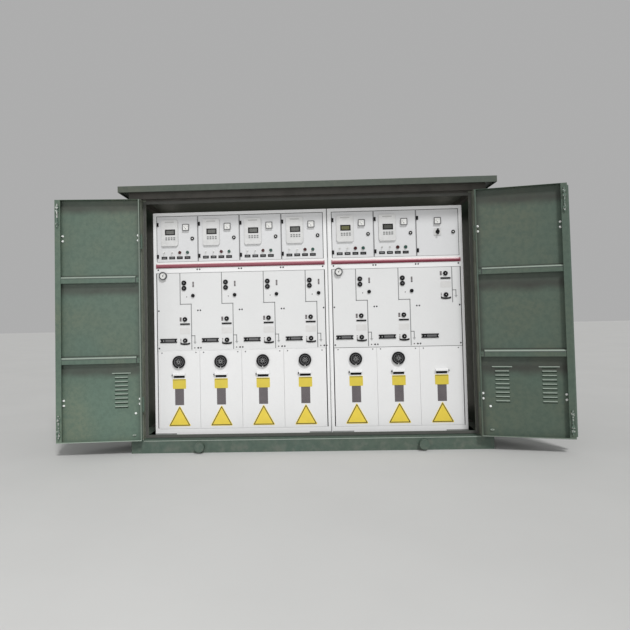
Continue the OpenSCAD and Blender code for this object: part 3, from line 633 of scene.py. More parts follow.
def makePiece(name, bm, coats):
    bmesh.ops.remove_doubles(bm, verts=bm.verts, dist=meshSet["weld"])
    bmesh.ops.recalc_face_normals(bm, faces=bm.faces)
    for edge in bm.edges:
        if len(edge.link_faces) == 2 and edge.calc_face_angle() > math.radians(meshSet["sharpDegrees"]):
            edge.smooth = False
    mesh = bpy.data.meshes.new(name)
    bm.to_mesh(mesh)
    bm.free()
    for coat in coats:
        mesh.materials.append(finishes[coat])
    piece = bpy.data.objects.new(name, mesh)
    scene.collection.objects.link(piece)
    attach(piece, "root")


# node trees that repeat a small shape over points

def repeatTree(name, sizes, shape):
    tree = bpy.data.node_groups.new(name, "GeometryNodeTree")
    inputs = [("Points", "Geometry"), *((size, "Float") for size in sizes), ("Finish", "Material")]
    for label, kind in inputs:
        tree.interface.new_socket(label, in_out="INPUT", socket_type="NodeSocket" + kind)
    tree.interface.new_socket("Mesh", in_out="OUTPUT", socket_type="NodeSocketGeometry")
    wire = Wire(tree)
    points = wire.node("NodeGroupInput", out="Points")
    facing = wire.node("GeometryNodeInputNamedAttribute", {"data_type": "FLOAT_VECTOR"}, {"Name": "facing"},
                       "Attribute")
    turned = wire.node("FunctionNodeAlignRotationToVector", {"axis": "Z"}, {"Vector": facing}, "Rotation")
    small = shape(wire, {size: points.also(size) for size in sizes})
    placed = wire.node("GeometryNodeInstanceOnPoints", sockets={
        "Points": points, "Instance": small, "Rotation": turned})
    solid = wire.node("GeometryNodeRealizeInstances", sockets={"Geometry": placed})
    coated = wire.node("GeometryNodeSetMaterial", sockets={
        "Geometry": solid, "Material": points.also("Finish")})
    wire.node("NodeGroupOutput", sockets={"Mesh": coated})
    return tree


def lifted(wire, mesh, height):
    offset = wire.node("ShaderNodeCombineXYZ", sockets={"Z": height})
    return wire.node("GeometryNodeTransform", sockets={"Geometry": mesh, "Translation": offset})


def nutShape(wire, size):
    drums = []
    for part, sides in (("Washer", 14), ("Nut", 6), ("Stud", 10)):
        depth = size[part + " height"]
        drum = wire.node("GeometryNodeMeshCylinder", sockets={"Vertices": sides, "Radius": size[part],
                                                              "Depth": depth}, out="Mesh")
        drums.append(lifted(wire, drum, depth * 0.5))
    return wire.node("GeometryNodeJoinGeometry", sockets={"Geometry": drums})


def screwShape(wire, size):
    # a cone head whose crown is drawn in and sunk for the driver
    cone = wire.node("GeometryNodeMeshCone", sockets={
        "Vertices": 12, "Radius Bottom": size["Head"], "Radius Top": size["Head"] * 0.72,
        "Depth": size["Height"]}, out="Mesh")
    crown = wire.node("GeometryNodeExtrudeMesh", sockets={
        "Mesh": cone, "Selection": cone.also("Top"), "Offset Scale": 0}, out="Mesh")
    drawn = wire.node("GeometryNodeScaleElements", sockets={
        "Geometry": crown, "Selection": crown.also("Top"), "Scale": 0.55}, out="Geometry")
    return wire.node("GeometryNodeExtrudeMesh", sockets={
        "Mesh": drawn, "Selection": crown.also("Top"), "Offset Scale": size["Height"] * -0.5}, out="Mesh")


def plateShape(wire, size):
    # a thin plate with a smaller raised face
    layers = []
    for share, rise in ((1.0, 1.0), (0.86, 1.5)):
        box = wire.node("ShaderNodeCombineXYZ", sockets={
            "X": size["Wide"] * share, "Y": size["High"] * share, "Z": size["Thick"] * rise})
        cube = wire.node("GeometryNodeMeshCube", sockets={"Size": box}, out="Mesh")
        layers.append(lifted(wire, cube, size["Thick"] * (rise / 2)))
    return wire.node("GeometryNodeJoinGeometry", sockets={"Geometry": layers})


def repeatPiece(name, tree, sizes, spots, coat):
    mesh = bpy.data.meshes.new(name)
    mesh.from_pydata([tuple(place) for place, _ in spots], [], [])
    facing = mesh.attributes.new("facing", "FLOAT_VECTOR", "POINT")
    for item, (_, normal) in zip(facing.data, spots):
        item.vector = normal
    piece = bpy.data.objects.new(name, mesh)
    scene.collection.objects.link(piece)
    modifier = piece.modifiers.new("repeat", "NODES")
    modifier.node_group = tree
    for item in tree.interface.items_tree:
        if item.in_out == "INPUT" and item.name in sizes:
            modifier[item.identifier] = sizes[item.name]
        elif item.in_out == "INPUT" and item.name == "Finish":
            modifier[item.identifier] = finishes[coat]
    bpy.context.view_layer.update()
    made = bpy.data.meshes.new_from_object(piece.evaluated_get(bpy.context.evaluated_depsgraph_get()))
    piece.modifiers.clear()
    piece.data = made
    made.name = name
    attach(piece, "root")


nutTree = repeatTree("nutTree", ("Washer", "Washer height", "Nut", "Nut height", "Stud", "Stud height"),
                     nutShape)
screwTree = repeatTree("screwTree", ("Head", "Height"), screwShape)
plateTree = repeatTree("plateTree", ("Wide", "High", "Thick"), plateShape)
print("node trees made")


# the switchgear row

row = {"wide": 0.328, "frame": 0.026, "gap": 0.012, "leftWays": 4, "ways": 7, "topBar": 0.025,
       "doorTall": 0.363, "stripTall": 0.087, "panelTall": 0.612}
gearLow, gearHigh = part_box("switchgear_frames")
frameFace = gearLow.y
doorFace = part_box("instrument_doors")[0].y
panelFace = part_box("operating_panels")[0].y
doorTop = gearHigh.z - row["topBar"]
stripTop = doorTop - row["doorTall"]
panelTop = stripTop - row["stripTall"]
coverTop = panelTop - row["panelTall"]
front = Vector((0, -1, 0))
fullWays = range(row["ways"] - 1)
allWays = range(row["ways"])
lastWay = row["ways"] - 1
blocks = ((0, row["leftWays"]), (row["leftWays"], row["ways"]))  # first way, and one past the last


def wayStart(i):
    start = gearLow.x + row["frame"] + i * row["wide"]
    return start if i < row["leftWays"] else start + 2 * row["frame"] + row["gap"]


def blockSides(block):
    return wayStart(block[0]), wayStart(block[1] - 1) + row["wide"]


def doorSpots(ways, columns, z):
    return [(wayStart(i) + x, doorTop + z) for i in ways for x in columns]


# instrument doors: relays, meters, name plates, toggles, locks, button rings

relaySet = {"x": 0.1053, "z": -0.1343, "deep": 0.009, "body": (0.132, 0.204), "rim": 0.0022, "rimProud": 0.0016,
            "rimCorners": (0.014, 0.012), "tuck": 0.001, "screen": (0.080, 0.045), "glass": (0.061, 0.028),
            "screenOff": (0.0045, 0.0041), "corner": 0.002, "bezelSpan": (0.0012, 0.003),
            "glassSpan": (0.0018, 0.003), "bar": (0.072, 0.010), "barUp": 0.084, "barProud": 0.0004,
            "keyColumns": (-0.0255, -0.0045, 0.0165, 0.0375), "keyRows": (-0.039, -0.053),
            "keySizes": {"Wide": 0.0135, "High": 0.0088, "Thick": 0.0016}}


def makeRelays(look):
    bm = bmesh.new()
    keys = []
    wide, high = look["body"]
    rim, tuck = 2 * look["rim"], look["tuck"]
    outerCorner, innerCorner = look["rimCorners"]
    for i in fullWays:
        x, z = wayStart(i) + look["x"], doorTop + look["z"]
        y = doorFace - look["deep"]
        sx, sz = x + look["screenOff"][0], z + look["screenOff"][1]
        bezel, glass = (roundedBox(sx, sz, *look[part], look["corner"]) for part in ("screen", "glass"))
        addPrism(bm, bezel, *spanAt(y, look["bezelSpan"]), glass, slot=1)
        addPrism(bm, glass, *spanAt(y, look["glassSpan"]), slot=3 if i == row["leftWays"] else 0)
        bar = roundedBox(x, z + look["barUp"], *look["bar"], look["corner"])
        addPrism(bm, bar, y - look["barProud"], y, slot=2)
        addPrism(bm, roundedBox(x, z, wide + rim, high + rim, outerCorner),
                 doorFace - look["rimProud"], doorFace,
                 roundedBox(x, z, wide - tuck, high - tuck, innerCorner), slot=2)
        keys += [((x + kx, y, z + kz), front) for kx in look["keyColumns"] for kz in look["keyRows"]]
    makePiece("relay_screens", bm, ["screen", "bezel", "caption", "olive"])
    repeatPiece("relay_keys", plateTree, look["keySizes"], keys, "key")


makeRelays(relaySet)

# a hand is half its width, its span in y and its span outward from the pivot
meterSet = {"x": 0.2339, "z": -0.094, "deep": 0.012, "frame": 0.054, "face": 0.0415, "corners": (0.005, 0.004),
            "frameProud": 0.0018, "faceProud": 0.0006, "pivot": -0.010, "ticks": 9, "sweep": 104,
            "tick": (0.0004, (-0.0010, -0.0006), (0.020, 0.0235)),
            "longTick": (0.0004, (-0.0010, -0.0006), (0.020, 0.0255)),
            "needle": (0.0006, (-0.0015, -0.0009), (-0.003, 0.021)), "needleAt": -38,
            "hub": 0.0030, "hubSides": 16, "hubSpan": (-0.0016, -0.0005)}


def makeMeters(look):
    bm = bmesh.new()
    for i in allWays:
        x = wayStart(i) + (row["wide"] / 2 if i == lastWay else look["x"])
        z, y = doorTop + look["z"], doorFace - look["deep"]
        rim, face = (roundedBox(x, z, look[part], look[part], corner)
                     for part, corner in zip(("frame", "face"), look["corners"]))
        addPrism(bm, rim, y - look["frameProud"], y, face, slot=1)
        addPrism(bm, face, y - look["faceProud"], y)
        pivot = (x, y, z + look["pivot"])
        addScale(bm, pivot, look, 4, 2)
        addHand(bm, pivot, look["needleAt"], look["needle"], 2)
        addPrism(bm, circle(x, pivot[2], look["hub"], look["hubSides"]), *spanAt(y, look["hubSpan"]), slot=2)
    makePiece("meter_faces", bm, ["dial", "frame", "needle"])


makeMeters(meterSet)

nameSet = {"x": (0.061, 0.122, 0.183, 0.244), "z": -0.331,
           "sizes": {"Wide": 0.046, "High": 0.022, "Thick": 0.0012},
           "field": (0.028, 0.0062), "corner": 0.001, "fieldSpan": (-0.0022, -0.0016)}


def makeNamePlates(look):
    spots = doorSpots(fullWays, look["x"], look["z"])
    repeatPiece("name_plates", plateTree, look["sizes"], [((x, doorFace, z), front) for x, z in spots], "black")
    bm = bmesh.new()
    for k, (x, z) in enumerate(spots):
        # the fields of each door's left pair are paler
        addPrism(bm, roundedBox(x, z, *look["field"], look["corner"]), *spanAt(doorFace, look["fieldSpan"]),
                 slot=k % len(look["x"]) // 2)
    makePiece("name_fields", bm, ["line", "slate"])


makeNamePlates(nameSet)

# lever and tip: half their width, then where they start and end along the lean
toggleSet = {"x": (0.061, 0.122), "z": -0.287, "nut": (0.0068, 0.0036), "nutSides": 6, "nutProud": 0.003,
             "neck": 0.0038, "neckSides": 16, "neckProud": 0.0075, "pivot": 0.006, "lean": 118,
             "lever": (0.0019, 0.0, 0.013), "tip": (0.0027, 0.010, 0.016)}


def makeToggles(look):
    bm = bmesh.new()
    for x, z in doorSpots(fullWays, look["x"], look["z"]):
        addRing(bm, x, z, look["nut"], look["nutSides"], doorFace - look["nutProud"], doorFace, slot=1)
        neck = circle(x, z, look["neck"], look["neckSides"])
        addPrism(bm, neck, doorFace - look["neckProud"], doorFace, slot=1)
        turn = turnAt((x, doorFace - look["pivot"], z), look["lean"], "X")
        for half, start, end in (look["lever"], look["tip"]):
            addBox(bm, (-half, -half, start), (half, half, end), turn)
    makePiece("toggle_switches", bm, ["toggle", "zinc"])


makeToggles(toggleSet)

lockSet = {"x": (0.2844,), "z": -0.1815, "core": 0.0050, "coreSides": 24, "coreSpan": (-0.0062, -0.0035),
           "slit": (0.0010, 0.0086), "slitCorner": 0.0004, "slitSpan": (-0.0064, -0.0050)}


def makeLocks(look):
    bm = bmesh.new()
    for x, z in doorSpots(allWays, look["x"], look["z"]):
        addPrism(bm, circle(x, z, look["core"], look["coreSides"]), *spanAt(doorFace, look["coreSpan"]))
        slit = roundedBox(x, z, *look["slit"], look["slitCorner"], 2)
        addPrism(bm, slit, *spanAt(doorFace, look["slitSpan"]), slot=1)
    makePiece("lock_cores", bm, ["dial", "needle"])


makeLocks(lockSet)

buttonSet = {"x": (0.1834, 0.2440), "z": -0.2904, "ring": (0.0150, 0.0127), "sides": 32, "proud": 0.0025}


def makeButtonRings(look):
    bm = bmesh.new()
    for x, z in doorSpots(fullWays, look["x"], look["z"]):
        addRing(bm, x, z, look["ring"], look["sides"], doorFace - look["proud"], doorFace)
    makePiece("button_rings", bm, ["zinc"])


makeButtonRings(buttonSet)
print("instrument doors dressed")


# operating panels: mimic lines, labels, marks, gauges, plugs, shutters

# each way's main line and its earth line, from the way's left edge and the panel's top
lineSet = {"way": ([(0.1802, -0.004), (0.1802, -0.247), (0.2663, -0.247), (0.2663, -0.600)],
                   [(0.2663, -0.495), (0.2916, -0.495), (0.2916, -0.545)]),
           "last": ([(0.2653, -0.006), (0.2653, -0.275)],
                    [(0.2653, -0.182), (0.2926, -0.182), (0.2926, -0.225)]),
           "wide": 0.0062, "thin": 0.00589, "proud": 0.0005,
           "bars": (0.010, 0.0065, 0.003), "barStep": 0.006, "barWide": 0.003}


def makeMimic(look):
    bm = bmesh.new()
    for i in allWays:
        left = wayStart(i)
        main, earth = look["last" if i == lastWay else "way"]
        paths = [(main, look["wide"]), (earth, look["thin"])]
        x, z = earth[-1]
        for k, half in enumerate(look["bars"]):
            down = z - look["barStep"] * k
            paths.append(([(x - half, down), (x + half, down)], look["barWide"]))
        for path, wide in paths:
            places = [(left + px, panelTop + pz) for px, pz in path]
            for start, end in zip(places, places[1:]):
                addStroke(bm, start, end, wide, panelFace - look["proud"], panelFace)
    makePiece("mimic_lines", bm, ["line"])


makeMimic(lineSet)

labelSet = {"x": 0.2155, "z": -0.4575, "lastZ": -0.1375, "wide": 0.082, "high": 0.048, "corner": 0.004,
            "proud": 0.0009, "inset": 0.010, "insetCorner": 0.002, "insetSpan": (-0.0012, -0.0008)}


def makeLabels(look):
    bm = bmesh.new()
    wide, high, inset = look["wide"], look["high"], look["inset"]
    for i in allWays:
        x, z = wayStart(i) + look["x"], panelTop + look["lastZ" if i == lastWay else "z"]
        addPrism(bm, roundedBox(x, z, wide, high, look["corner"]), panelFace - look["proud"], panelFace)
        addPrism(bm, roundedBox(x, z, wide - inset, high - inset, look["insetCorner"]),
                 *spanAt(panelFace, look["insetSpan"]))
    makePiece("label_plates", bm, ["label"])


makeLabels(labelSet)

# columns of strokes: x, z, how many, length, thickness; dots: x, z, radius, how proud
markSet = {"way": [(0.1810, -0.366, 3, 0.0150, 0.0092), (0.1810, -0.532, 3, 0.0100, 0.0050),
                   (0.2840, -0.0935, 4, 0.0132, 0.0088)],
           "last": [(0.1810, -0.052, 3, 0.0150, 0.0092), (0.1810, -0.217, 3, 0.0100, 0.0050)],
           "dots": [(0.2318, -0.190, 0.0040, 0.0012), (0.2900, -0.590, 0.0048, 0.0015),
                    (0.3140, -0.590, 0.0048, 0.0015), (0.3380, -0.590, 0.0048, 0.0015)],
           "pitch": 0.011, "proud": 0.0005, "dotSides": 14}


def makeMarks(look):
    bm = bmesh.new()
    for i in allWays:
        left, last = wayStart(i), i == lastWay
        for x, z, count, long, thick in look["last" if last else "way"]:
            half = (long - thick) / 2
            for k in range(count):
                at = panelTop + z + (k - (count - 1) / 2) * look["pitch"]
                addStroke(bm, (left + x - half, at), (left + x + half, at), thick,
                          panelFace - look["proud"], panelFace)
        for x, z, radius, proud in [] if last else look["dots"]:
            dot = circle(left + x, panelTop + z, radius, look["dotSides"])
            addPrism(bm, dot, panelFace - proud, panelFace)
    makePiece("panel_marks", bm, ["mark"])


makeMarks(markSet)

gaugeSet = {"x": 0.0485, "z": -0.0220, "deep": 0.016, "rim": 0.0312, "dial": 0.0240, "sides": 40,
            "rimSpan": (-0.002, 0.013), "dialSpan": (0.0025, 0.0042), "ticks": 13, "sweep": 260,
            "tick": (0.0005, (0.0021, 0.0026), (0.0182, 0.0222)),
            "longTick": (0.0005, (0.0021, 0.0026), (0.0162, 0.0222)),
            "needle": (0.0008, (0.0011, 0.0017), (-0.007, 0.019)), "needleAt": 28,
            "hub": 0.0050, "hubSides": 20, "hubSpan": (0.0005, 0.0026)}


def makeGauges(look):
    bm = bmesh.new()
    for first, _ in blocks:
        x, z, y = wayStart(first) + look["x"], panelTop + look["z"], frameFace - look["deep"]
        addRing(bm, x, z, (look["rim"], look["dial"]), look["sides"], *spanAt(y, look["rimSpan"]), slot=1)
        addPrism(bm, circle(x, z, look["dial"], look["sides"]), *spanAt(y, look["dialSpan"]))
        addScale(bm, (x, y, z), look, 3, 3)
        addHand(bm, (x, y, z), look["needleAt"], look["needle"], 2)
        addPrism(bm, circle(x, z, look["hub"], look["hubSides"]), *spanAt(y, look["hubSpan"]), slot=2)
    makePiece("gauge_dials", bm, ["dial", "rim", "needle", "grey"])


makeGauges(gaugeSet)

plugSet = {"z": -0.0859, "deep": 0.016, "ring": (0.0365, 0.0320), "sides": 40, "ringProud": 0.0025, "ribs": 10,
           "rib": (0.0016, (-0.0055, 0.0), (0.0145, 0.0235)), "hubDeep": 0.0192,
           "hubRing": (0.0115, 0.0072), "hubSides": 32, "hubProud": 0.0010,
           "tab": ((-0.0030, -0.0176, -0.0485), (0.0030, -0.0155, -0.0405))}


def makePlugs(look):
    bm = bmesh.new()
    for i in fullWays:
        x, z = wayStart(i) + row["wide"] / 2, coverTop + look["z"]
        base, hub = panelFace - look["deep"] / 2, panelFace - look["hubDeep"]
        addRing(bm, x, z, look["ring"], look["sides"], base - look["ringProud"], base)
        for k in range(look["ribs"]):
            addHand(bm, (x, base, z), 360 * k / look["ribs"], look["rib"], 2)
        addRing(bm, x, z, look["hubRing"], look["hubSides"], hub - look["hubProud"], hub, slot=2)
        addBox(bm, *look["tab"], Matrix.Translation((x, panelFace, z)), 1)
    makePiece("plug_ribs", bm, ["slate", "dial", "grey"])


makePlugs(plugSet)

shutterSet = {"x": 0.2155, "z": (-0.3660, -0.5318), "lastZ": (-0.0520, -0.2173), "deep": 0.011, "sides": 20,
              "ring": (0.0038, 0.0012), "ringSpan": (-0.0012, 0.0002), "discX": 0.2116,
              "discZ": (-0.0802, -0.1222), "disc": (0.0066, 0.0026), "discSpan": (-0.0010, 0.0002),
              "bar": (0.074, 0.016), "barX": 0.0970, "barZ": -0.5312, "barCorner": 0.002,
              "barSpan": (-0.0068, -0.006)}


def makeShutters(look):
    bm = bmesh.new()
    y = panelFace - look["deep"]
    for i in allWays:
        x, last = wayStart(i), i == lastWay
        for z in look["lastZ" if last else "z"]:
            addRing(bm, x + look["x"], panelTop + z, look["ring"], look["sides"],
                    *spanAt(y, look["ringSpan"]), slot=1)
        for z in () if last else look["discZ"]:
            addRing(bm, x + look["discX"], panelTop + z, look["disc"], look["sides"],
                    *spanAt(y, look["discSpan"]))
        addPrism(bm, roundedBox(x + look["barX"], panelTop + look["barZ"], *look["bar"], look["barCorner"]),
                 *spanAt(panelFace, look["barSpan"]))
    makePiece("shutter_faces", bm, ["slate", "caption"])


makeShutters(shutterSet)
print("operating panels dressed")


# cable covers: plates and hasp pins

# border: corner radius and inset of its outer and inner line
plateSet = {"plate": (0.104, 0.076), "z": -0.2565, "corner": 0.005, "proud": 0.0012, "band": (0.098, 0.0036),
            "bandDown": 0.0065, "bandCorner": 0.001, "bandSpan": (-0.0016, -0.0008), "triHalf": 0.088,
            "triHigh": 0.160, "triBase": -0.584, "triCorner": 0.006,
            "border": ((0.004, 0.0040), (0.002, 0.0100)), "borderSpan": (-0.0015, -0.0008)}


def makeCoverPlates(look):
    bm = bmesh.new()
    wide, high = look["plate"]
    for i in allWays:
        x, z = wayStart(i) + row["wide"] / 2, coverTop + look["z"]
        addPrism(bm, roundedBox(x, z, wide, high, look["corner"]), panelFace - look["proud"], panelFace, slot=2)
        addPrism(bm, roundedBox(x, z + high / 2 - look["bandDown"], *look["band"], look["bandCorner"]),
                 *spanAt(panelFace, look["bandSpan"]), slot=1)
        shape = (x, coverTop + look["triBase"], look["triHalf"], look["triHigh"])
        outer, inner = (roundedTriangle(*shape, *line) for line in look["border"])
        addPrism(bm, roundedTriangle(*shape, look["triCorner"]), panelFace - look["proud"], panelFace)
        addPrism(bm, outer, *spanAt(panelFace, look["borderSpan"]), inner, slot=1)
    makePiece("cover_plates", bm, ["yellow", "edge", "amber"])


makeCoverPlates(plateSet)

# leaf and bar: lower and upper corner from the middle of the hasp
pinSet = {"z": -0.190, "pinX": 0.052, "pinUp": 0.003, "shank": 0.0062, "shankSpan": (-0.012, 0.0),
          "tip": 0.0038, "tipSpan": (-0.014, -0.012), "sides": 18,
          "leaf": ((-0.0415, 0.0008, -0.0195), (0.0415, 0.0024, -0.0005)),
          "bar": ((-0.030, -0.004, -0.014), (0.030, 0.001, -0.006))}


def makeHaspPins(look):
    bm = bmesh.new()
    for i in allWays:
        x, z = wayStart(i) + row["wide"] / 2, coverTop + look["z"]
        px = x + look["pinX"] if i == lastWay else x - look["pinX"]
        for part in ("shank", "tip"):
            shaft = circle(px, z + look["pinUp"], look[part], look["sides"])
            addPrism(bm, shaft, *spanAt(panelFace, look[part + "Span"]))
        for part in ("leaf", "bar"):
            addBox(bm, *look[part], Matrix.Translation((x, panelFace, z)))
    makePiece("hasp_pins", bm, ["black"])


makeHaspPins(pinSet)


# screws, trim ends and joints of the row

screwSet = {"panel": {"Head": 0.0066, "Height": 0.0026}, "cover": {"Head": 0.0050, "Height": 0.0024},
            "panelIn": 0.0098, "stripDown": 0.062, "panelDown": (0.297, 0.590),
            "coverIn": 0.030, "coverDown": 0.014}


def makeScrews(look):
    panelSpots, coverSpots = [], []
    for i in allWays:
        x = wayStart(i)
        for ex in (look["panelIn"], row["wide"] - look["panelIn"]):
            panelSpots.append(((x + ex, frameFace, stripTop - look["stripDown"]), front))
            panelSpots += [((x + ex, panelFace, panelTop - down), front) for down in look["panelDown"]]
        for ex in (look["coverIn"], row["wide"] - look["coverIn"]):
            coverSpots.append(((x + ex, panelFace, coverTop - look["coverDown"]), front))
    repeatPiece("panel_screws", screwTree, look["panel"], panelSpots, "rim")
    repeatPiece("cover_screws", screwTree, look["cover"], coverSpots, "frame")


makeScrews(screwSet)

# section: shares of the trim's depth, from its back, and of its height
capSet = {"long": 0.0075, "in": 0.002, "proud": 0.0006,
          "section": [(0, -0.02), (-0.75, 0.04), (-1, 0.18), (-1, 0.64), (-0.4, 1.02), (0, 1.02)]}


def makeTrimEnds(look):
    # moulded caps on the ends of the red trim
    bm = bmesh.new()
    low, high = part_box("red_trims")
    deep, tall = high.y - low.y + look["proud"], high.z - low.z
    section = [(high.y + deep * y, low.z + tall * z) for y, z in look["section"]]
    for block in blocks:
        left, right = blockSides(block)
        left, right = left + look["in"], right - look["in"]
        addRun(bm, section, left - look["long"], left)
        addRun(bm, section, right, right + look["long"])
    makePiece("trim_ends", bm, ["trimEnd"])


makeTrimEnds(capSet)

# spans are in y, behind the frame's face or the panel's
jointSet = {"gasket": 0.0046, "gapShadeSpan": (0.001, 0.019), "topSunk": 0.004, "footUp": 0.002,
            "stripSpan": (0.0016, 0.0056), "stripHigh": (-0.0012, 0.0027), "stripIn": 0.002,
            "sideSlot": 0.007, "sideIn": 0.0005, "sideSpan": (0.0016, 0.0046),
            "fillSpan": (0.003, 0.008), "beadIn": 0.003, "beadSpan": (0.001, 0.003),
            "lineSpan": (0.0004, 0.001)}


def makeJoints(look):
    # dark and pale strips round the instrument doors and beside the panels, painted shade in their gaps, and
    # strips in the joints of the row
    gapShades, strips = bmesh.new(), bmesh.new()
    wide, foot = look["gasket"], stripTop + look["footUp"]
    near, far = spanAt(frameFace, look["gapShadeSpan"])
    for i in allWays:
        left, right = wayStart(i), wayStart(i) + row["wide"]
        starts, ends = i in [first for first, _ in blocks], i + 1 in [end for _, end in blocks]
        addBox(gapShades, (left, near, foot), (left + wide, far, doorTop), slot=0 if starts else 1)
        addBox(gapShades, (right - wide, near, foot), (right, far, doorTop), slot=0 if ends else 1)
        addBox(gapShades, (left, near + look["topSunk"], doorTop - wide), (right, far, doorTop))
    for slot, block in enumerate(blocks):
        left, right = blockSides(block)
        near, far = spanAt(panelFace, look["stripSpan"])
        low, high = spanAt(coverTop, look["stripHigh"])
        addBox(strips, (left + look["stripIn"], near, low), (right - look["stripIn"], far, high), slot=slot)
        near, far = spanAt(panelFace, look["sideSpan"])
        for x in (left - look["sideSlot"], right):
            addBox(gapShades, (x + look["sideIn"], near, coverTop),
                   (x + look["sideSlot"] - look["sideIn"], far, panelTop))
    # between the two blocks: a filler, a bead on it and a painted shade line down its left side
    middle = wayStart(row["leftWays"]) - row["frame"] - row["gap"] / 2
    half = row["gap"] / 2
    for reach, span in ((half, look["fillSpan"]), (half - look["beadIn"], look["beadSpan"])):
        near, far = spanAt(frameFace, span)
        addBox(strips, (middle - reach, near, gearLow.z), (middle + reach, far, gearHigh.z))
    near, far = spanAt(frameFace, look["lineSpan"])
    addBox(strips, (middle - half, near, foot), (middle, far, gearHigh.z), slot=2)
    addBox(strips, (middle - half, near, gearLow.z), (middle, far, foot), slot=1)
    makePiece("door_gap_shades", gapShades, ["gasket", "gasketPale"])
    makePiece("joint_strips", strips, ["gearFrame", "line", "gasket"])


makeJoints(jointSet)
print("cable covers dressed")


# folding leaves: stay eyes, hinge nuts, tongue screws

# in the leaf's own plane, from its lower hinge corner; left and right where they differ
fixingSet = {"hingeIn": 0.290, "hingeNut": 0.018, "freeNut": 0.046, "nutHalf": 0.019,
             "stayNut": {-1: (0.049, 0.201), 1: (0.067, 0.215)},
             "stayEye": {-1: (0.061, 0.040), 1: (0.074, 0.045)},
             "eyeHalf": (0.014, 0.0055), "eyeHole": 0.0032, "eyeProud": 0.010, "eyeSides": 24,
             "tongueIn": 0.017, "tongueDrop": 0.007, "screwSizes": {"Head": 0.0055, "Height": 0.0026},
             "nutSizes": {"Washer": 0.0085, "Washer height": 0.0015, "Nut": 0.0072, "Nut height": 0.0070,
                          "Stud": 0.0038, "Stud height": 0.0105}}


def makeFixings(look):
    nuts, screws = [], []
    eyes = bmesh.new()
    sheet, tongue, high = leafSet["sheet"], leafSet["tongueDeep"], leafSet["high"]
    for side in (-1, 1):
        for inner in (False, True):
            turn = leafFrame(side, inner)
            inward = (turn.to_3x3() @ Vector((0, 1, 0))).normalized()
            places = []
            for z in (look["hingeIn"], high - look["hingeIn"]):
                for x in (look["hingeNut"],) if inner else (look["hingeNut"], leafWide - look["freeNut"]):
                    places += [(x, z - look["nutHalf"]), (x, z + look["nutHalf"])]
            if not inner:
                places.append(look["stayNut"][side])
                x, z = look["stayEye"][side]
                rim = [(x + a * look["eyeHalf"][0], z + b * look["eyeHalf"][1])
                       for a, b in circle(0, 0, 1, look["eyeSides"])]
                hole = circle(x, z, look["eyeHole"], look["eyeSides"])
                addPrism(eyes, rim, sheet, sheet + look["eyeProud"], hole, turn=turn)
            nuts += [(turn @ Vector((x, sheet, z)), inward) for x, z in places]
            screws += [(turn @ Vector((x, tongue, z - look["tongueDrop"])), inward) for z in ribHeights
                       for x in (look["tongueIn"], leafWide - look["tongueIn"])]
    # the stay eyes take the paler highlight green
    makePiece("stay_eyes", eyes, ["worn"])
    # the near white of the nuts is a painted glint of their zinc
    repeatPiece("hinge_nuts", nutTree, look["nutSizes"], nuts, "nut")
    repeatPiece("tongue_screws", screwTree, look["screwSizes"], screws, "green")


makeFixings(fixingSet)

lipSet = {"groups": {-1: [0.154], 1: [0.154, leafWide - 0.154]}, "count": 9, "pitch": 0.031, "start": 0.253,
          "wide": 0.094, "topWide": 0.138, "high": 0.0065, "proud": 0.0060, "edge": 0.0018}


def makeLouvreLips(look):
    # bent lips over the slots, on the inside of the leaves, pale green for a painted highlight
    bm = bmesh.new()
    near, far = leafSet["sheet"], leafSet["sheet"] + look["proud"]
    for side in (-1, 1):
        for middle in look["groups"][side]:
            for k in range(look["count"]):
                half = (look["topWide"] if k == look["count"] - 1 else look["wide"]) / 2
                z = look["start"] + k * look["pitch"]
                section = [(near, z), (far, z), (far, z + look["edge"]), (near, z + look["high"])]
                addRun(bm, section, middle - half, middle + half, turn=leafFrame(side))
    makePiece("louvre_lips", bm, ["worn"])


makeLouvreLips(lipSet)

edgeSet = {"ribEnd": 0.036, "ribDeep": 0.034, "ribTop": 0.014, "slopeHalf": 0.007, "shade": 0.003,
           "slit": 0.005, "slitHalf": 0.016, "leafDeep": 0.040, "edgeWide": 0.0065, "edgeIn": 0.001,
           "thin": 0.0006}


def makeSheenEdges(look):
    # painted highlights along the ribs' sloped tops, the left leaf's hinge edge and both feet, dimmer
    # on the hinge edge and the right foot, with painted shade lines at the ribs' bends and ends
    bm = bmesh.new()
    start, end, thin = look["ribEnd"], leafWide - look["ribEnd"], look["thin"]
    ribFace, tongueFace, edgeFace = look["ribDeep"], leafSet["tongueDeep"], look["leafDeep"]
    halfTop, tip, wide = look["ribTop"] / 2, look["edgeIn"], look["edgeWide"]
    for side, slot in ((-1, 0), (1, 1)):
        turn = leafFrame(side)
        for rib in ribHeights:
            z = rib + leafSet["ribHalf"] - halfTop
            slope = turn @ turnAt((0, ribFace - halfTop, z), -45, "X")
            addBox(bm, (start, -look["slopeHalf"], 0.0), (end, look["slopeHalf"], thin), slope)
            bend, middle = z - halfTop, rib - halfTop
            addBox(bm, (start, ribFace, bend - look["shade"]), (end, ribFace + thin, bend), turn, 2)
            for x in (start - look["slit"], end):
                addBox(bm, (x, tongueFace, middle - look["slitHalf"]),
                       (x + look["slit"], tongueFace + thin, middle + look["slitHalf"]), turn, 2)
        addBox(bm, (tip, edgeFace, tip), (leafWide - tip, edgeFace + thin, wide), turn, slot)
        if side < 0:
            addBox(bm, (tip, edgeFace, wide), (wide, edgeFace + thin, leafSet["high"] - tip), turn, 1)
    makePiece("sheen_edges", bm, ["worn", "dimSheen", "rim"])


makeSheenEdges(edgeSet)
print("leaves dressed")


# shell: sheet screws on the rear wall and the sides, trim along the sill

shellSet = {"in": 0.022, "endIn": 0.06, "count": 8, "bays": 3, "bayGap": 0.004,
            "sizes": {"Head": 0.0075, "Height": 0.0034}}


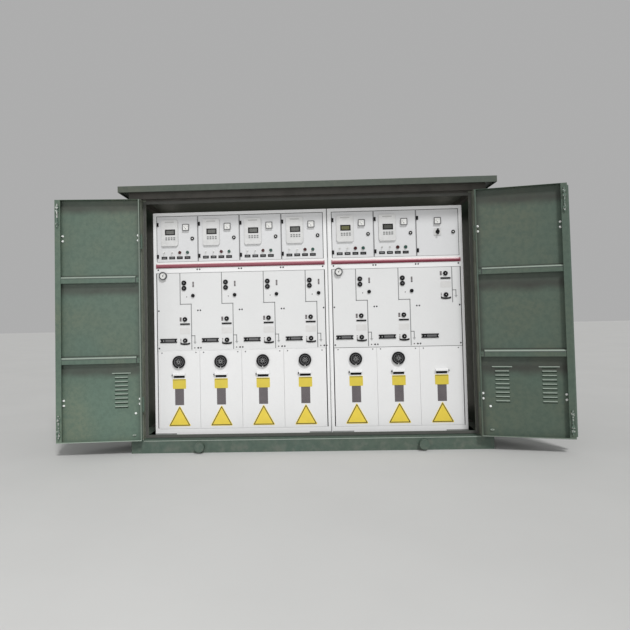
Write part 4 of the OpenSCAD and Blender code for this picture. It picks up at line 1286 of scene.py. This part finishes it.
def makeShellScrews(look):
    columns = []  # x, y, the way that the screws face, foot and top
    low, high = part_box("rear_wall")
    bay = (high.x - low.x + look["bayGap"]) / look["bays"]
    for i in range(look["bays"]):
        for edge in (look["in"], bay - look["bayGap"] - look["in"]):
            columns.append((low.x + i * bay + edge, high.y, (0, 1, 0), low.z, high.z))
    for name, direction in (("left_wall", -1), ("right_wall", 1)):
        low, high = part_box(name)
        for y in (low.y + look["in"], high.y - look["in"]):
            columns.append((low.x if direction < 0 else high.x, y, (direction, 0, 0), low.z, high.z))
    spots = []
    for x, y, facing, foot, top in columns:
        for k in range(look["count"]):
            z = foot + look["endIn"] + (top - foot - 2 * look["endIn"]) * k / (look["count"] - 1)
            spots.append(((x, y, z), facing))
    repeatPiece("shell_screws", screwTree, look["sizes"], spots, "green")


makeShellScrews(shellSet)

sillSet = {"half": 1.2615, "front": -0.575, "stripTop": 0.1022, "stripFoot": 0.0955, "proud": 0.0028,
           "grooveHalf": 0.002, "grooveProud": 0.001, "bead": 0.0034, "beadSteps": 8}


def makeSillTrim(look):
    # a grooved strip along the top of the plinth, over a rolled bead in pale green, a painted highlight
    bm = bmesh.new()
    back, out, top, foot = look["front"], look["front"] - look["proud"], look["stripTop"], look["stripFoot"]
    middle, half = (top + foot) / 2, look["grooveHalf"]
    strip = [(back, foot), (out, foot), (out, middle - half), (back - look["grooveProud"], middle),
             (out, middle + half), (out, top), (back, top)]
    addRun(bm, strip, -look["half"], look["half"])
    bead = []
    for k in range(look["beadSteps"] + 1):
        angle = math.pi * k / look["beadSteps"]
        bead.append((back - look["bead"] * math.sin(angle),
                     foot - look["bead"] + look["bead"] * math.cos(angle)))
    addRun(bm, bead, -look["half"], look["half"], 1, True)
    makePiece("sill_trim", bm, ["plinth", "worn"])


makeSillTrim(sillSet)
print("shell dressed")


# floor

floorSet = {"shade": (0.56, 0.56, 0.55), "cloud": (1.1, 4, 0.3, 0.7, 1.0, 0.97), "half": 40.0, "rough": 0.85}


def makeFloor(look):
    coat = Finish("floorPale", specular=0.2)
    colour, _ = coat.layer(look["shade"], look["shade"], *look["cloud"])
    bm = bmesh.new()
    bmesh.ops.create_grid(bm, x_segments=2, y_segments=2, size=look["half"])
    mesh = bpy.data.meshes.new("studioFloor")
    bm.to_mesh(mesh)
    bm.free()
    mesh.materials.append(coat.give(colour, look["rough"]))
    floor = bpy.data.objects.new("studioFloor", mesh)
    scene.collection.objects.link(floor)


makeFloor(floorSet)
